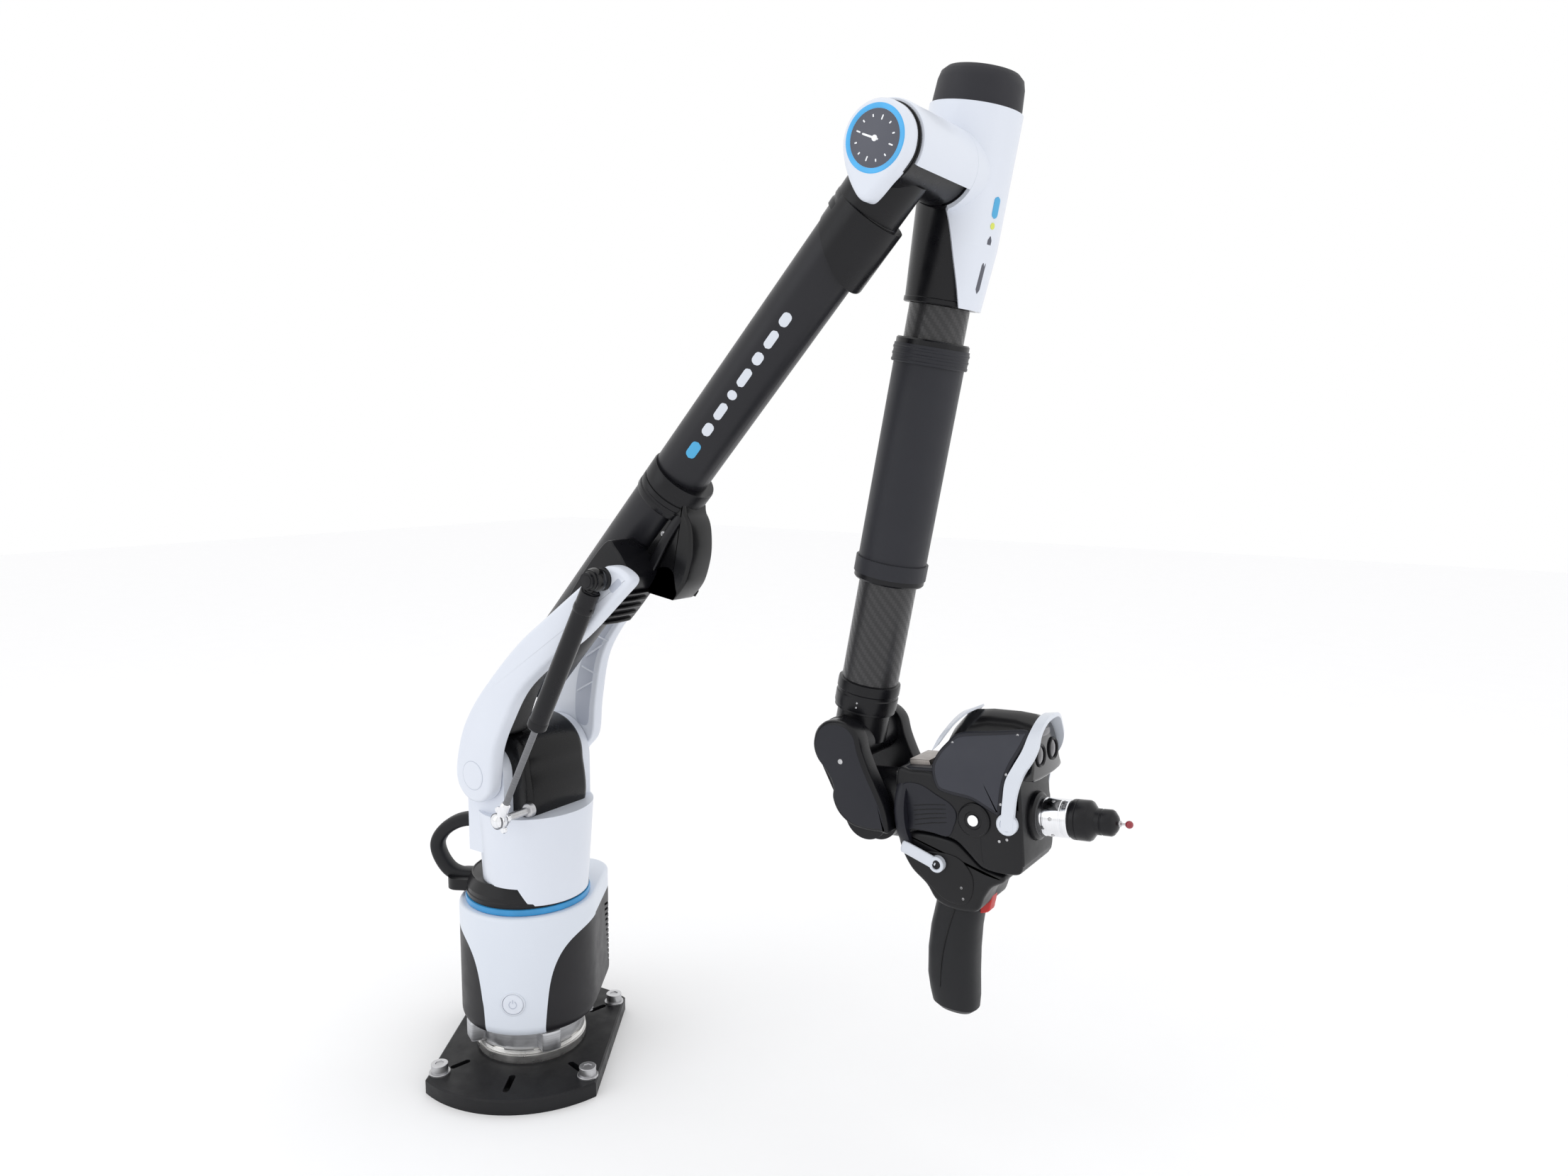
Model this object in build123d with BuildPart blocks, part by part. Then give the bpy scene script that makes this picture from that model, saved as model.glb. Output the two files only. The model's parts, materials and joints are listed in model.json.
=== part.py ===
"""Portable seven-axis measuring arm with a touch probe and a line scanner.

Millimetres. +Z is up, the origin is on the base swivel axis at the underside of the base plate,
and +X is the direction in which the upper arm leans. All hinge axes lie along Y at rest.
"""

import os
from math import cos, radians, sin

from build123d import *

os.makedirs("parts", exist_ok=True)

# ---------------------------------------------------------------- driving dimensions
BASE_ANGLE = -57.0        # direction of the base's front panel, from +X
PLATE_THICK = 14.0
PLATE_RADIUS = 114.0
PLATE_FLATS = 160.0       # across the two parallel flats
BOLT_PCD = 198.0
BOLT_RADIUS = 5.0
BOLT_REACH = 20.0         # thread standing out below the plate
SHANK_RADIUS = 5.3        # plain shank of the screws, through the plate
SHANK_DROP = 1.0
RING_RADIUS = 52.0
RING_TOP = 28.0
NUT_TOP = 48.0
NUT_RADIUS = 50.0
LUG_RADIUS = 62.0
NECK_RADIUS = 45.0
BODY_RADIUS = 66.0        # front of the base housing, around the swivel axis
BODY_REAR = 96.0          # how far the base housing reaches back
BODY_BOTTOM = 44.0
DECK_TOP = 164.0
DECK_EDGE = 144.0         # underside of the white deck above the side panels
WALL = 4.0
SHAFT_RADIUS = 24.0
FIT = 0.05                # radial clearance of a running fit
CARRY_ANGLE = 210.0       # direction of the carry handle, from +X
SHOULDER_Z = 298.0
AXLE_RADIUS = 12.0
BARREL_RADIUS = 33.0
EAR_INNER = 39.0
EAR_OUTER = 50.0
ARM_INNER = 51.0
ARM_OUTER = 63.0
LEAN = 42.4               # upper arm from the vertical
TUBE_OFFSET = 43.0        # upper tube axis from the shoulder axis
UPPER_LENGTH = 651.0      # foot of the tube axis to the elbow axis
UPPER_RADIUS = 24.2
COLLAR_RADIUS = 28.0
COLLAR_SHIFT = 3.6        # how far the collars stand off the tube's axis, toward its front
ROLL_JOINT_3 = 327.0      # split between the fixed and the turning upper tube
DISC_FACE = 46.0          # face of the elbow disc, from the tube's plane
ELBOW_RADIUS = 27.0
FOREARM_Y = 91.5          # plane of the forearm axis
FOREARM_TILT = 10.7       # forearm from the vertical
FOREARM_LENGTH = 462.0    # elbow axis to wrist axis
HOUSING_RADIUS = 33.0
COVER_RADIUS = 36.2
ROLL_JOINT_5 = 97.0       # split between the forearm housing and the forearm tube
FORE_RADIUS = 24.3
SLEEVE_RADIUS = 28.7
KNUCKLE_HALF = 29.6
YOKE_INNER = 30.0
YOKE_OUTER = 42.0
YOKE_COVER = 46.0
WRIST_DROP = 57.0         # wrist axis above the handle's roll axis
ROLL_TILT = 5.5           # handle roll axis above the horizontal
YOKE_BARREL = 27.0
ROLL_JOINT_7 = 50.0       # split between yoke barrel and handle, along the roll axis
HANDLE_RING = 40.0
RING_END = 60.0           # front of the handle's rear ring, along the roll axis
HANDLE_HALF = 31.0
SCANNER_HALF = 30.0
PIVOT = 148.0             # front frame pivot, along the roll axis
FRONT_FACE = 157.0        # front of the handle body, along the roll axis
STRUT_Y = -74.0
STRUT_TOP = (168.0, 493.0)
STRUT_END = (46.0, 267.0)
STRUT_RADIUS = 8.4
ROD_RADIUS = 3.0


# ---------------------------------------------------------------- frames of the links
def direction(x, z):
    """A vector in the XZ plane."""
    return Vector(x, 0, z)


NEAR = Vector(0, -1, 0)
base_front = Vector(cos(radians(BASE_ANGLE)), sin(radians(BASE_ANGLE)), 0)
base_side = Vector(-sin(radians(BASE_ANGLE)), cos(radians(BASE_ANGLE)), 0)
BASE = Plane(origin=(0, 0, 0), x_dir=base_front, z_dir=(0, 0, 1))
BASE_FRONT = Plane(origin=(0, 0, 0), x_dir=base_side, z_dir=base_front)
CARRY_PLAN = Plane.XY.rotated((0, 0, CARRY_ANGLE))
CARRY = Plane(origin=(0, 0, 0), x_dir=CARRY_PLAN.x_dir, z_dir=-CARRY_PLAN.y_dir)

shoulder = Vector(0, 0, SHOULDER_Z)
upper_dir = direction(sin(radians(LEAN)), cos(radians(LEAN)))
upper_front = direction(cos(radians(LEAN)), -sin(radians(LEAN)))
upper_foot = shoulder - upper_front * TUBE_OFFSET
elbow = upper_foot + upper_dir * UPPER_LENGTH
SHOULDER_SIDE = Plane(origin=shoulder, x_dir=(1, 0, 0), z_dir=NEAR)
UPPER = Plane(origin=upper_foot, x_dir=upper_front, z_dir=upper_dir)
UPPER_SIDE = Plane(origin=upper_foot, x_dir=upper_dir, z_dir=NEAR)
COLLAR_AXIS = Plane(origin=upper_foot + upper_front * COLLAR_SHIFT, x_dir=upper_front, z_dir=upper_dir)
ELBOW_SIDE = Plane(origin=elbow, x_dir=upper_dir, z_dir=NEAR)

fore_start = elbow + Vector(0, FOREARM_Y, 0)
fore_dir = direction(-sin(radians(FOREARM_TILT)), -cos(radians(FOREARM_TILT)))
fore_right = direction(cos(radians(FOREARM_TILT)), -sin(radians(FOREARM_TILT)))
wrist = fore_start + fore_dir * FOREARM_LENGTH
FORE = Plane(origin=fore_start, x_dir=fore_right, z_dir=fore_dir)
FORE_SIDE = Plane(origin=fore_start, x_dir=fore_dir, z_dir=NEAR)
COVER_CUT = Plane(origin=fore_start, x_dir=fore_dir, z_dir=(0.565, -0.825, 0.0))
WRIST_SIDE = Plane(origin=wrist, x_dir=fore_dir, z_dir=NEAR)

roll_dir = direction(cos(radians(ROLL_TILT)), sin(radians(ROLL_TILT)))
roll_up = direction(-sin(radians(ROLL_TILT)), cos(radians(ROLL_TILT)))
roll_start = wrist - roll_up * WRIST_DROP
HANDLE = Plane(origin=roll_start, x_dir=roll_up, z_dir=roll_dir)
HANDLE_SIDE = Plane(origin=roll_start, x_dir=roll_dir, z_dir=NEAR)

strut_top = Vector(STRUT_TOP[0], STRUT_Y, STRUT_TOP[1])
strut_end = Vector(STRUT_END[0], STRUT_Y, STRUT_END[1])
strut_dir = (strut_end - strut_top).normalized()
strut_length = (strut_end - strut_top).length
STRUT = Plane(origin=strut_top, x_dir=(0, 1, 0), z_dir=strut_dir)
STRUT_SIDE = Plane(origin=strut_top, x_dir=strut_dir, z_dir=NEAR)


# ---------------------------------------------------------------- shared shapes
def rod(plane, start, end, outer, inner=0.0, mode=Mode.ADD):
    """A round bar or tube along a plane's normal, from start to end."""
    with BuildSketch(plane.offset(start)) as section:
        Circle(outer)
        if inner:
            Circle(inner, mode=Mode.SUBTRACT)
    extrude(section.sketch, amount=end - start, mode=mode)


def cone(plane, start, end, first, last, mode=Mode.ADD):
    """A round bar that tapers from one radius to another."""
    with BuildSketch(plane.offset(start)) as wide:
        Circle(first)
    with BuildSketch(plane.offset(end)) as narrow:
        Circle(last)
    loft([wide.sketch, narrow.sketch], mode=mode)


def block(plane, corner, opposite, low, high, mode=Mode.ADD):
    """A box given by two corners in a plane and two distances along its normal."""
    with BuildSketch(plane.offset(low)) as section:
        with Locations(((corner[0] + opposite[0]) / 2, (corner[1] + opposite[1]) / 2)):
            Rectangle(abs(opposite[0] - corner[0]), abs(opposite[1] - corner[1]))
    extrude(section.sketch, amount=high - low, mode=mode)


def prism(plane, points, low, high, mode=Mode.ADD):
    """A straight-sided outline extruded between two distances along a plane's normal."""
    with BuildLine() as edge:
        Polyline(*points, points[0])
    with BuildSketch(plane.offset(low)) as section:
        make_face(edge.edges())
    extrude(section.sketch, amount=high - low, mode=mode)


def link(plane, discs, low, high, mode=Mode.ADD):
    """A plate whose outline is the hull of discs, each given as (x, y, radius)."""
    with BuildSketch(plane.offset(low)) as section:
        for x, y, radius in discs:
            with Locations((x, y)):
                Circle(radius)
        make_hull()
    extrude(section.sketch, amount=high - low, mode=mode)


def finish(part, name):
    """Labels a piece and writes it."""
    part.label = name
    export_step(part, f"parts/{name}.step")


# ---------------------------------------------------------------- base
with BuildPart() as base_plate:
    with BuildSketch(BASE):
        Circle(PLATE_RADIUS)
        Rectangle(2 * PLATE_RADIUS, PLATE_FLATS, mode=Mode.INTERSECT)
    extrude(amount=PLATE_THICK)
    chamfer(base_plate.faces().sort_by(Axis.Z)[-1].edges(), 1.5)
    with BuildSketch(BASE):
        with PolarLocations(BOLT_PCD / 2, 4, start_angle=45):
            Circle(BOLT_RADIUS + 0.5)
        with PolarLocations(78, 4, start_angle=45):
            SlotCenterToCenter(14, 6)
        with PolarLocations(86, 2):
            SlotCenterToCenter(22, 6)
    extrude(amount=PLATE_THICK, mode=Mode.SUBTRACT)
finish(base_plate.part, "base_plate")

with BuildPart() as plate_screws:
    with BuildSketch(BASE.offset(-BOLT_REACH)):
        with PolarLocations(BOLT_PCD / 2, 4, start_angle=45):
            Circle(BOLT_RADIUS)
    extrude(amount=BOLT_REACH - SHANK_DROP)
    with BuildSketch(BASE.offset(-SHANK_DROP)):
        with PolarLocations(BOLT_PCD / 2, 4, start_angle=45):
            Circle(SHANK_RADIUS)
    extrude(amount=SHANK_DROP + PLATE_THICK)
    with BuildSketch(BASE.offset(PLATE_THICK)):
        with PolarLocations(BOLT_PCD / 2, 4, start_angle=45):
            Circle(7.8)
    extrude(amount=9)
    chamfer(plate_screws.faces().group_by(Axis.Z)[-1].edges(), 0.8)
    with BuildSketch(BASE.offset(PLATE_THICK + 4)):
        with PolarLocations(BOLT_PCD / 2, 4, start_angle=45):
            RegularPolygon(4.4, 6)
    extrude(amount=6, mode=Mode.SUBTRACT)
finish(plate_screws.part, "plate_screws")

with BuildPart() as mount_ring:
    rod(BASE, PLATE_THICK, RING_TOP, RING_RADIUS, 38)
    with BuildSketch(BASE.offset(RING_TOP - 5)):
        with PolarLocations(RING_RADIUS + 2, 8, start_angle=22.5):
            Rectangle(7, 12)
    extrude(amount=6, mode=Mode.SUBTRACT)
finish(mount_ring.part, "mount_ring")

with BuildPart() as lock_nut:
    with BuildSketch(BASE.offset(RING_TOP)):
        Circle(NUT_RADIUS)
        with PolarLocations(LUG_RADIUS - 9, 4, start_angle=32):
            RectangleRounded(18, 18, 3)
        Circle(NECK_RADIUS + FIT, mode=Mode.SUBTRACT)
    extrude(amount=NUT_TOP - RING_TOP)
    chamfer(lock_nut.faces().sort_by(Axis.Z)[-1].edges(), 1.0)
finish(lock_nut.part, "lock_nut")

with BuildPart() as base_frame:
    rod(BASE, RING_TOP, 60, NECK_RADIUS, SHAFT_RADIUS + 11)
    rod(BASE, 60, 66, 57, SHAFT_RADIUS + 11)
    rod(BASE, 66, 152, 40, SHAFT_RADIUS + 11)
    with BuildSketch(BASE.offset(66)):
        with PolarLocations(46, 6):
            Rectangle(16, 4)
    extrude(amount=60)
finish(base_frame.part, "base_frame")

with BuildPart() as swivel_bearings:
    for height in (74, 134):
        rod(BASE, height, height + 15, SHAFT_RADIUS + 11, SHAFT_RADIUS)
finish(swivel_bearings.part, "swivel_bearings")

with BuildPart() as battery_pack:
    with BuildSketch(BASE.offset(68)):
        with Locations((-75, 0)):
            RectangleRounded(26, 84, 4)
    extrude(amount=66)
finish(battery_pack.part, "battery_pack")


def body_plan(inset):
    """Plan of the base housing: a round front that runs into a squarer rear."""
    Circle(BODY_RADIUS - inset)
    with Locations((-(BODY_REAR - inset) / 2, 0)):
        RectangleRounded(BODY_REAR - inset, 2 * (BODY_RADIUS - inset), 32)
    with Locations((-18, 0)):
        Rectangle(36, 2 * (BODY_RADIUS - inset))


with BuildPart() as body_shell:
    with BuildSketch(BASE.offset(BODY_BOTTOM)):
        body_plan(0)
    extrude(amount=DECK_TOP - BODY_BOTTOM)
    fillet(body_shell.faces().sort_by(Axis.Z)[0].edges(), 13)
    fillet(body_shell.faces().sort_by(Axis.Z)[-1].edges(), 3.5)
    with BuildSketch(BASE.offset(BODY_BOTTOM + 14)):
        body_plan(WALL)
    extrude(amount=DECK_TOP - WALL - BODY_BOTTOM - 14, mode=Mode.SUBTRACT)
    rod(BASE, BODY_BOTTOM - 1, NUT_TOP + 0.5, LUG_RADIUS + 1, mode=Mode.SUBTRACT)
    rod(BASE, NUT_TOP, BODY_BOTTOM + 15, NECK_RADIUS + 0.5, mode=Mode.SUBTRACT)
    rod(BASE, BODY_BOTTOM + 12, 66.5, 57.5, mode=Mode.SUBTRACT)
    rod(BASE, DECK_TOP - WALL - 1, DECK_TOP + 1, 52, mode=Mode.SUBTRACT)

panel_edge = [(28, BODY_BOTTOM - 2), (31, 80), (37, 112), (50, 134), (70, DECK_EDGE)]
panel_mirror = [(-x, z) for x, z in reversed(panel_edge)]
with BuildPart() as white_zone:
    with BuildSketch(BASE_FRONT):
        with BuildLine():
            Spline(panel_edge, tangents=[(0.05, 1), (1, 0.25)])
            Polyline((70, DECK_EDGE), (70, 170), (-70, 170), (-70, DECK_EDGE))
            Spline(panel_mirror, tangents=[(1, -0.25), (0.05, -1)])
            Line((-28, BODY_BOTTOM - 2), (28, BODY_BOTTOM - 2))
        make_face()
    extrude(amount=80)
    with BuildSketch(BASE.offset(DECK_EDGE)):
        Rectangle(240, 240)
    extrude(amount=30)

with BuildPart() as rear_zone:
    block(BASE, (-130, -30), (-70, 30), BODY_BOTTOM - 2, DECK_EDGE)

POWER_HEIGHT = 81.0
with BuildPart() as base_housing:
    add(body_shell.part)
    add(white_zone.part, mode=Mode.INTERSECT)
    with BuildSketch(BASE_FRONT.offset(BODY_RADIUS - 12)):
        with Locations((0, POWER_HEIGHT)):
            Circle(10.3)
    extrude(amount=20, mode=Mode.SUBTRACT)
finish(base_housing.part, "base_housing")

for side, name in ((1, "side_panel_right"), (-1, "side_panel_left")):
    with BuildPart() as side_panel:
        add(body_shell.part)
        add(white_zone.part, mode=Mode.SUBTRACT)
        add(rear_zone.part, mode=Mode.SUBTRACT)
        split(bisect_by=Plane(origin=(0, 0, 0), x_dir=base_front, z_dir=base_side * side))
        louvre_plane = Plane(origin=base_side * side * (BODY_RADIUS + 1), x_dir=base_front, z_dir=-base_side)
        with BuildSketch(louvre_plane):
            with Locations([(-60 - 1.2 * i, 128 - 6.0 * i) for i in range(12)]):
                SlotOverall(28, 2.6, rotation=16)
        extrude(amount=side * 7, mode=Mode.SUBTRACT)
    finish(side_panel.part, name)

with BuildPart() as rear_cover:
    add(body_shell.part)
    add(white_zone.part, mode=Mode.SUBTRACT)
    add(rear_zone.part, mode=Mode.INTERSECT)
    with BuildSketch(BASE_FRONT.offset(-BODY_REAR - 1)):
        with Locations((-14, 74)):
            Circle(6)
        with Locations((12, 74)):
            RectangleRounded(14, 7, 1)
    extrude(amount=4, mode=Mode.SUBTRACT)
finish(rear_cover.part, "rear_cover")

with BuildPart() as power_button:
    with BuildSketch(BASE_FRONT.offset(BODY_RADIUS - 7)):
        with Locations((0, POWER_HEIGHT)):
            Circle(9.9)
    extrude(amount=7.4)
finish(power_button.part, "power_button")

with BuildPart() as base_light_ring:
    rod(BASE, DECK_TOP, DECK_TOP + 6, 59.2, 50)
finish(base_light_ring.part, "base_light_ring")

# ---------------------------------------------------------------- turret
TURRET_BOTTOM = DECK_TOP + 6.5
CUP_BOTTOM = 171.0
CUP_TOP = 259.0
RING_LEVEL = 190.0        # top of the black turret ring

with BuildPart() as swivel_shaft:
    rod(BASE, 68, TURRET_BOTTOM, SHAFT_RADIUS - FIT, 15)
finish(swivel_shaft.part, "swivel_shaft")

with BuildPart() as turret_ring:
    rod(Plane.XY, TURRET_BOTTOM, 180, 58)
    cone(Plane.XY, 180, RING_LEVEL, 58, 53)
    with BuildSketch(CARRY_PLAN.offset(TURRET_BOTTOM)):
        with Locations((56, 0)):
            RectangleRounded(44, 36, 12)
    extrude(amount=11)
    rod(Plane.XY, TURRET_BOTTOM - 1, RING_LEVEL + 1, 15, mode=Mode.SUBTRACT)
finish(turret_ring.part, "turret_ring")


def cup(inset, low, high):
    """The turret cup's tapered oval body, made smaller by inset."""
    with BuildSketch(Plane.XY.offset(low)) as foot:
        with Locations((12, 0)):
            Ellipse(48 - inset, 51 - inset)
    with BuildSketch(Plane.XY.offset(high)) as rim:
        with Locations((14, 0)):
            Ellipse(52 - inset, 57 - inset)
    loft([foot.sketch, rim.sketch])


with BuildPart() as cup_solid:
    cup(0, CUP_BOTTOM, CUP_TOP)
    for low, high, radius in ((EAR_INNER, EAR_OUTER, 25), (-EAR_OUTER, -EAR_INNER, 37)):
        rod(SHOULDER_SIDE, low, high, radius)
        block(SHOULDER_SIDE, (-radius, -80), (radius, 0), low, high)
    prism(Plane.XZ, [(80, 160), (80, 171.6), (20, 174), (-60, 200), (-60, 160)], -80, 80, mode=Mode.SUBTRACT)

with BuildPart() as turret_core:
    cup(4.5, CUP_BOTTOM, CUP_TOP - 0.5)
    rod(SHOULDER_SIDE, -60, 60, BARREL_RADIUS, mode=Mode.SUBTRACT)
    rod(Plane.XY, CUP_BOTTOM - 1, RING_LEVEL, 70, mode=Mode.SUBTRACT)
    block(SHOULDER_SIDE, (-60, -40), (80, 10), EAR_INNER, 70, mode=Mode.SUBTRACT)
    block(SHOULDER_SIDE, (-60, -40), (80, 10), -70, -EAR_INNER, mode=Mode.SUBTRACT)
finish(turret_core.part, "turret_core")

with BuildPart() as turret_housing:
    add(cup_solid.part)
    add(turret_core.part, mode=Mode.SUBTRACT)
    rod(Plane.XY, CUP_BOTTOM - 5, RING_LEVEL, 58.2, mode=Mode.SUBTRACT)
    rod(SHOULDER_SIDE, -EAR_INNER, EAR_INNER, BARREL_RADIUS, mode=Mode.SUBTRACT)
    rod(SHOULDER_SIDE, -60, 60, AXLE_RADIUS + 8, mode=Mode.SUBTRACT)
finish(turret_housing.part, "turret_housing")

with BuildPart() as shoulder_barrel:
    rod(SHOULDER_SIDE, -EAR_INNER, EAR_INNER, BARREL_RADIUS, AXLE_RADIUS + 8)
finish(shoulder_barrel.part, "shoulder_barrel")

with BuildPart() as shoulder_bearings:
    for low in (EAR_OUTER - 20, -EAR_OUTER):
        rod(SHOULDER_SIDE, low, low + 20, AXLE_RADIUS + 8, AXLE_RADIUS + FIT)
finish(shoulder_bearings.part, "shoulder_bearings")

with BuildPart() as carry_handle:
    with BuildSketch(CARRY.offset(-11)):
        with BuildLine():
            FilletPolyline((32, 237), (68, 235), (91, 214), (78, 181), (45, 180), radius=13)
        trace(line_width=17)
    extrude(amount=22)
    add(cup_solid.part, mode=Mode.SUBTRACT)
    add(turret_ring.part, mode=Mode.SUBTRACT)
finish(carry_handle.part, "carry_handle")

BRACKET = Plane(origin=(STRUT_END[0], 0, STRUT_END[1]), x_dir=(1, 0, 0), z_dir=NEAR)
with BuildPart() as strut_bracket:
    rod(BRACKET, 36, -STRUT_Y - 12, 9)
    rod(BRACKET, 36, -STRUT_Y - 4.5, 5.5)
    add(cup_solid.part, mode=Mode.SUBTRACT)
finish(strut_bracket.part, "strut_bracket")

# ---------------------------------------------------------------- fork
near_right = [(25, 4), (31, 42), (58, 82), (103, 117), (140, 143), (195, 195)]
near_top = [(195, 195), (173, 208), (158, 199)]
far_right = [(25, 4), (40, 22), (44, 54), (55, 100), (76, 134), (122, 184)]
far_top = [(122, 184), (112, 191), (103, 183)]
near_left = [(158, 199), (92, 151), (29, 97), (-3, 64), (-20, 30), (-25, 4)]
far_left = [(103, 183), (72, 152), (26, 104), (-3, 64), (-20, 30), (-25, 4)]
for low, right, top, left, name in (
    (ARM_INNER, near_right, near_top, near_left, "fork_arm_near"),
    (-ARM_OUTER, far_right, far_top, far_left, "fork_arm_far"),
):
    with BuildPart() as fork_arm:
        with BuildSketch(SHOULDER_SIDE.offset(low)):
            with BuildLine():
                Spline(right, tangents=[(0, 1), (0.7, 0.7)])
                Polyline(top)
                Spline(left, tangents=[(-0.7, -0.6), (0, -1)])
                ThreePointArc((-25, 4), (0, -25.3), (25, 4))
            make_face()
            Circle(AXLE_RADIUS, mode=Mode.SUBTRACT)
        extrude(amount=ARM_OUTER - ARM_INNER)
    finish(fork_arm.part, name)

FORK_END = ROLL_JOINT_3 - 0.4
with BuildPart() as fork_casting:
    cone(UPPER, 64, 74, 17, UPPER_RADIUS)
    rod(UPPER, 74, FORK_END, UPPER_RADIUS)
    rod(COLLAR_AXIS, 313, FORK_END, COLLAR_RADIUS)
    block(UPPER_SIDE, (168, -44), (238, -8), -ARM_INNER, ARM_INNER)
    for start in (180, 194, 208, 222):
        block(UPPER_SIDE, (start, -45), (start + 5, -41), -ARM_INNER + 4, ARM_INNER - 4, mode=Mode.SUBTRACT)
    rod(UPPER, 238, FORK_END + 1, 19, mode=Mode.SUBTRACT)
finish(fork_casting.part, "fork_casting")

with BuildPart() as shoulder_axle:
    rod(SHOULDER_SIDE, -ARM_OUTER, ARM_OUTER, AXLE_RADIUS)
finish(shoulder_axle.part, "shoulder_axle")

STUD_RADIUS = 4.0
with BuildPart() as strut_stud:
    stud_plane = Plane(origin=(STRUT_TOP[0], 0, STRUT_TOP[1]), x_dir=(1, 0, 0), z_dir=NEAR)
    rod(stud_plane, ARM_OUTER, 81, STUD_RADIUS)
    rod(stud_plane, ARM_OUTER, 67, 8)
    rod(stud_plane, 81, 84, 7)
finish(strut_stud.part, "strut_stud")

with BuildPart() as parking_cradle:
    with BuildSketch(UPPER_SIDE.offset(-15)):
        with BuildLine():
            Polyline((311, -20), (311, -36), (296, -54), (262, -67), (250, -62), (266, -54))
            ThreePointArc((266, -54), (274, -47), (266, -39))
            Polyline((266, -39), (258, -38), (262, -20), (311, -20))
        make_face()
    extrude(amount=30)
    rod(UPPER, 240, 330, UPPER_RADIUS, mode=Mode.SUBTRACT)
finish(parking_cradle.part, "parking_cradle")

# ---------------------------------------------------------------- gas strut
STRUT_END_PLANE = Plane(origin=strut_end, x_dir=strut_dir, z_dir=NEAR)
CYLINDER_END = 150.0
with BuildPart() as strut_cylinder:
    rod(STRUT_SIDE, -6, 6, 9)
    rod(STRUT, 6, 12, 6)
    rod(STRUT, 11, CYLINDER_END, STRUT_RADIUS)
    rod(STRUT, 20, CYLINDER_END - 4, 6, mode=Mode.SUBTRACT)
    rod(STRUT, CYLINDER_END - 5, CYLINDER_END + 1, ROD_RADIUS + FIT, mode=Mode.SUBTRACT)
    rod(STRUT_SIDE, -7, 7, STUD_RADIUS + FIT, mode=Mode.SUBTRACT)
finish(strut_cylinder.part, "strut_cylinder")

with BuildPart() as strut_rod:
    rod(STRUT, 62, strut_length - 3, ROD_RADIUS)
    rod(STRUT, 58, 66, 6 - FIT)
    rod(STRUT_END_PLANE, -4, 4, 7.5)
finish(strut_rod.part, "strut_rod")

# ---------------------------------------------------------------- upper tube and elbow disc
TUBE_END = 604.0
with BuildPart() as upper_tube:
    rod(UPPER, ROLL_JOINT_3, 590, UPPER_RADIUS, UPPER_RADIUS - 2.5)
    rod(UPPER, 242, ROLL_JOINT_3 + 16, 19 - FIT, 12)
    rod(UPPER, ROLL_JOINT_3, ROLL_JOINT_3 + 16, UPPER_RADIUS - 1, 12)
finish(upper_tube.part, "upper_tube")

with BuildPart() as tube_collars:
    rod(COLLAR_AXIS, ROLL_JOINT_3, 343, COLLAR_RADIUS)
    rod(COLLAR_AXIS, 548, TUBE_END, COLLAR_RADIUS)
    rod(UPPER, ROLL_JOINT_3 - 1, TUBE_END + 1, UPPER_RADIUS, mode=Mode.SUBTRACT)
    prism(UPPER_SIDE, [(540, 40), (592, 40), (548, -40), (540, -40)], -40, 40, mode=Mode.SUBTRACT)
finish(tube_collars.part, "tube_collars")

with BuildPart() as elbow_yoke:
    rod(UPPER, 590, 640, ELBOW_RADIUS - 1)
    rod(UPPER, 570, 590, UPPER_RADIUS - 2.5)
    rod(ELBOW_SIDE, -50, 36, ELBOW_RADIUS)
    rod(UPPER, 589, TUBE_END, 40, UPPER_RADIUS - 0.3, mode=Mode.SUBTRACT)
    rod(ELBOW_SIDE, -51, 30, 14, mode=Mode.SUBTRACT)
finish(elbow_yoke.part, "elbow_yoke")

with BuildPart() as disc_shell:
    link(ELBOW_SIDE, [(0, 0, 26), (-30, -6, 4.5), (-30, -18, 4.5)], 36, DISC_FACE)
    rod(ELBOW_SIDE, DISC_FACE - 2, DISC_FACE + 1, 22.5, mode=Mode.SUBTRACT)
finish(disc_shell.part, "disc_shell")

with BuildPart() as disc_light_ring:
    rod(ELBOW_SIDE, DISC_FACE - 2, DISC_FACE + 0.3, 22.3, 19.5)
finish(disc_light_ring.part, "disc_light_ring")

with BuildPart() as disc_face:
    rod(ELBOW_SIDE, DISC_FACE - 2, DISC_FACE, 19.4)
finish(disc_face.part, "disc_face")

# ---------------------------------------------------------------- forearm housing
HOUSING_TOP = -50.0
with BuildPart() as housing_solid:
    rod(FORE, HOUSING_TOP, 20, HOUSING_RADIUS)
    cone(FORE, 20, ROLL_JOINT_5, HOUSING_RADIUS, 28.5)
    rod(ELBOW_SIDE, -FOREARM_Y, -50.6, ELBOW_RADIUS + 1)

with BuildPart() as elbow_axle:
    rod(ELBOW_SIDE, -66, 29.6, 14 - FIT)
finish(elbow_axle.part, "elbow_axle")

with BuildPart() as forearm_housing:
    add(housing_solid.part)
    add(elbow_axle.part, mode=Mode.SUBTRACT)
    rod(FORE, 50, ROLL_JOINT_5 + 1, 17, mode=Mode.SUBTRACT)
finish(forearm_housing.part, "forearm_housing")

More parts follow.
